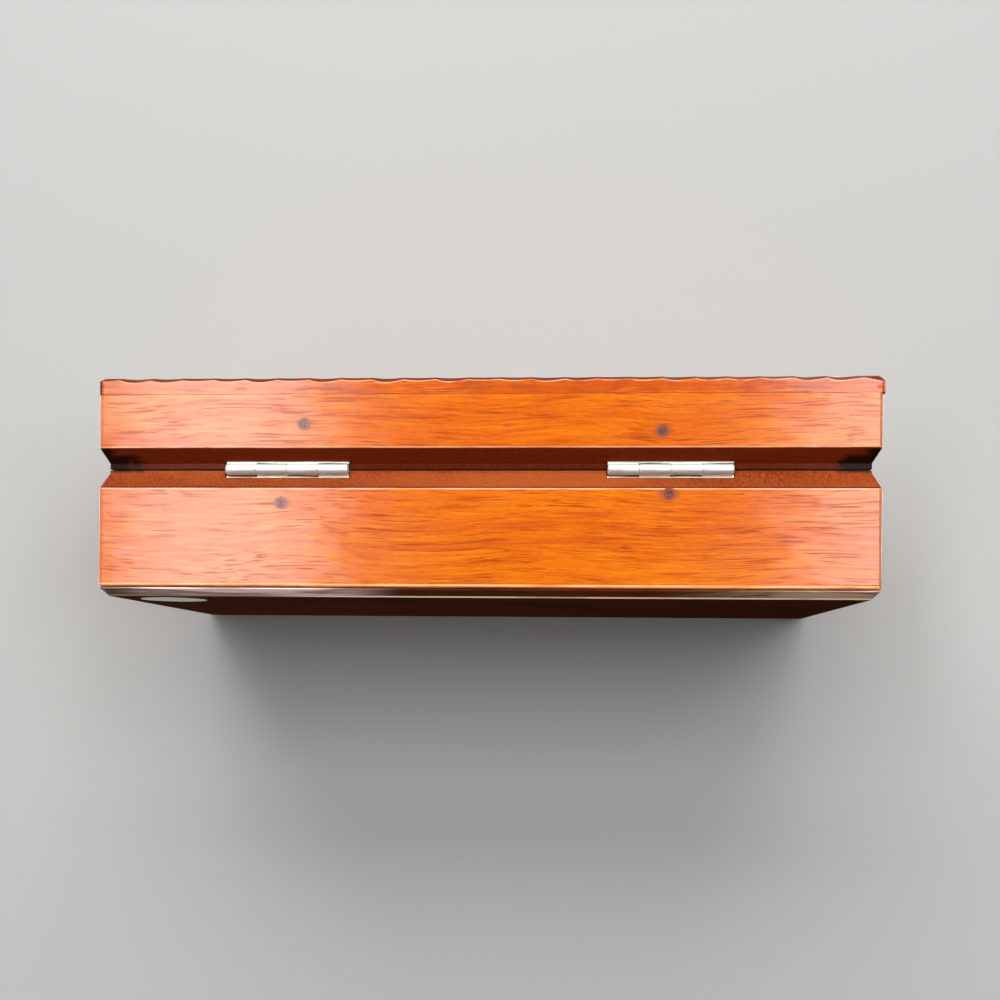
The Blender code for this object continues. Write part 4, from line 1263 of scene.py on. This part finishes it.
def paper():
    """Blank, slightly yellowed paper."""
    sheet = Graph("pale paper")
    mottled = sheet.noise((320, 320, 320), None, 3.0, 0.6)
    fibres = sheet.noise((4000, 4000, 4000), None, 2.0, 0.7)
    shade = sheet.mix(sheet.span(mottled, 0.35, 0.7), PAPER_PALE, PAPER_DARK)
    return sheet.finish(shade, sheet.span(fibres, 0.3, 0.7, 0.75, 0.95), sheet.bump(fibres, 0.02 * MM), {})


def paint(node, material):
    for slot in frame["nodes"][node].material_slots:
        slot.material = material


def paint_frame():
    """Gives the frame's own pieces their finish, each board with its own grain."""
    for body, kind, seeds in (("base", "wall", (1, 2, 3, 4)), ("lid", "rail", (6, 7, 8, 10))):
        plugs = [node_place(f"{side}_{body}_plug") for side in SIDES]
        for side, axis, seed in zip(("front", "back", "left", "right"), "xxyy", seeds):
            holes = plugs if side == "back" else ()
            wood = lacquered_wood(f"{body} {side} {kind} wood", axis, seed, holes)
            paint(f"{body}_{side}_{kind}", wood)
    paint("bottom_board", dark_wood())


# Camera, backdrop and light


def add_camera():
    data = bpy.data.cameras.new("camera")
    data.lens = CAMERA_LENS
    data.sensor_width = 36
    data.shift_y = CAMERA_SHIFT_Y
    data.clip_start = 0.01
    data.clip_end = 20
    camera = add_object("camera", data)
    level = Matrix.Rotation(math.pi, 4, "Z") @ Matrix.Rotation(math.pi / 2, 4, "X")
    yaw = Matrix.Rotation(math.radians(CAMERA_YAW), 4, "Z")
    roll = Matrix.Rotation(math.radians(CAMERA_ROLL), 4, "Z")
    camera.matrix_world = Matrix.Translation(CAMERA_PLACE) @ yaw @ level @ roll
    bpy.context.scene.camera = camera


def add_panel(name, place, size, power):
    data = bpy.data.lights.new(name, "AREA")
    data.shape = "RECTANGLE"
    data.size, data.size_y = size
    data.energy = power
    light = add_object(name, data)
    light.location = place
    light.rotation_euler = (Vector(LIGHT_TARGET) - Vector(place)).to_track_quat("-Z", "Y").to_euler()
    light.visible_camera = False


def stage_material(name, shade):
    """Plain and matt, and clear from behind, so that a camera behind it sees the box."""
    tree = Tree(bpy.data.materials.new(name))
    matt = tree.nodes["Principled BSDF"]
    tree.put(matt.inputs["Base Color"], shade)
    tree.put(matt.inputs["Roughness"], 0.9)
    tree.put(matt.inputs["Specular IOR Level"], 0.1)
    behind = tree.add("NewGeometry").outputs["Backfacing"]
    clear = tree.add("BsdfTransparent").outputs[0]
    mixed = tree.add("MixShader", behind, matt.outputs[0], clear).outputs[0]
    tree.put(tree.nodes["Material Output"].inputs["Surface"], mixed)
    return tree.owner


def add_sheet(name, placed, shade):
    """A wide flat sheet that only the camera sees, and that lights nothing."""
    mesh = bpy.data.meshes.new(name)
    corners = [(-1, -1), (1, -1), (1, 1), (-1, 1)]
    mesh.from_pydata([(x * STAGE_SIZE, y * STAGE_SIZE, 0) for x, y in corners], [], [(0, 1, 2, 3)])
    mesh.materials.append(stage_material("pale " + name, shade))
    sheet = add_object(name, mesh)
    sheet.matrix_world = placed
    sheet.visible_diffuse = False
    sheet.visible_glossy = False
    sheet.visible_shadow = False


def add_stage():
    """The floor under the box, and an upright sheet just behind its front."""
    add_sheet("floor", Matrix.Translation((0, 0, -STAGE_GAP)), FLOOR_SHADE)
    upright = Matrix.Rotation(-math.pi / 2, 4, "X")
    behind = Matrix.Translation((0, -HALF_Y - 2 * STAGE_GAP, 0))
    add_sheet("backdrop", behind @ upright, BACKDROP_SHADE)


def add_world():
    tree = Tree(bpy.data.worlds.new("studio"))
    seen = tree.nodes["Background"]
    tree.put(seen.inputs["Color"], SEEN_SHADE)
    direction = tree.add("TexCoord").outputs["Generated"]
    up = tree.add("SeparateXYZ", direction).outputs["Z"]
    height = tree.add("MapRange", up, LOWER_EDGE, UPPER_EDGE).outputs["Result"]
    lit = tree.add("Background", tree.mix(height, LOWER_LIGHT, UPPER_LIGHT))
    to_camera = tree.add("LightPath").outputs["Is Camera Ray"]
    mixed = tree.add("MixShader", to_camera, lit.outputs[0], seen.outputs[0]).outputs[0]
    tree.put(tree.nodes["World Output"].inputs["Surface"], mixed)
    bpy.context.scene.world = tree.owner


paint_frame()
add_carved_board()
add_hinges()
add_plugs()
add_sticker()
add_camera()
add_stage()
add_world()
for panel in PANELS:
    add_panel(*panel)
bpy.context.scene.view_settings.view_transform = "Standard"
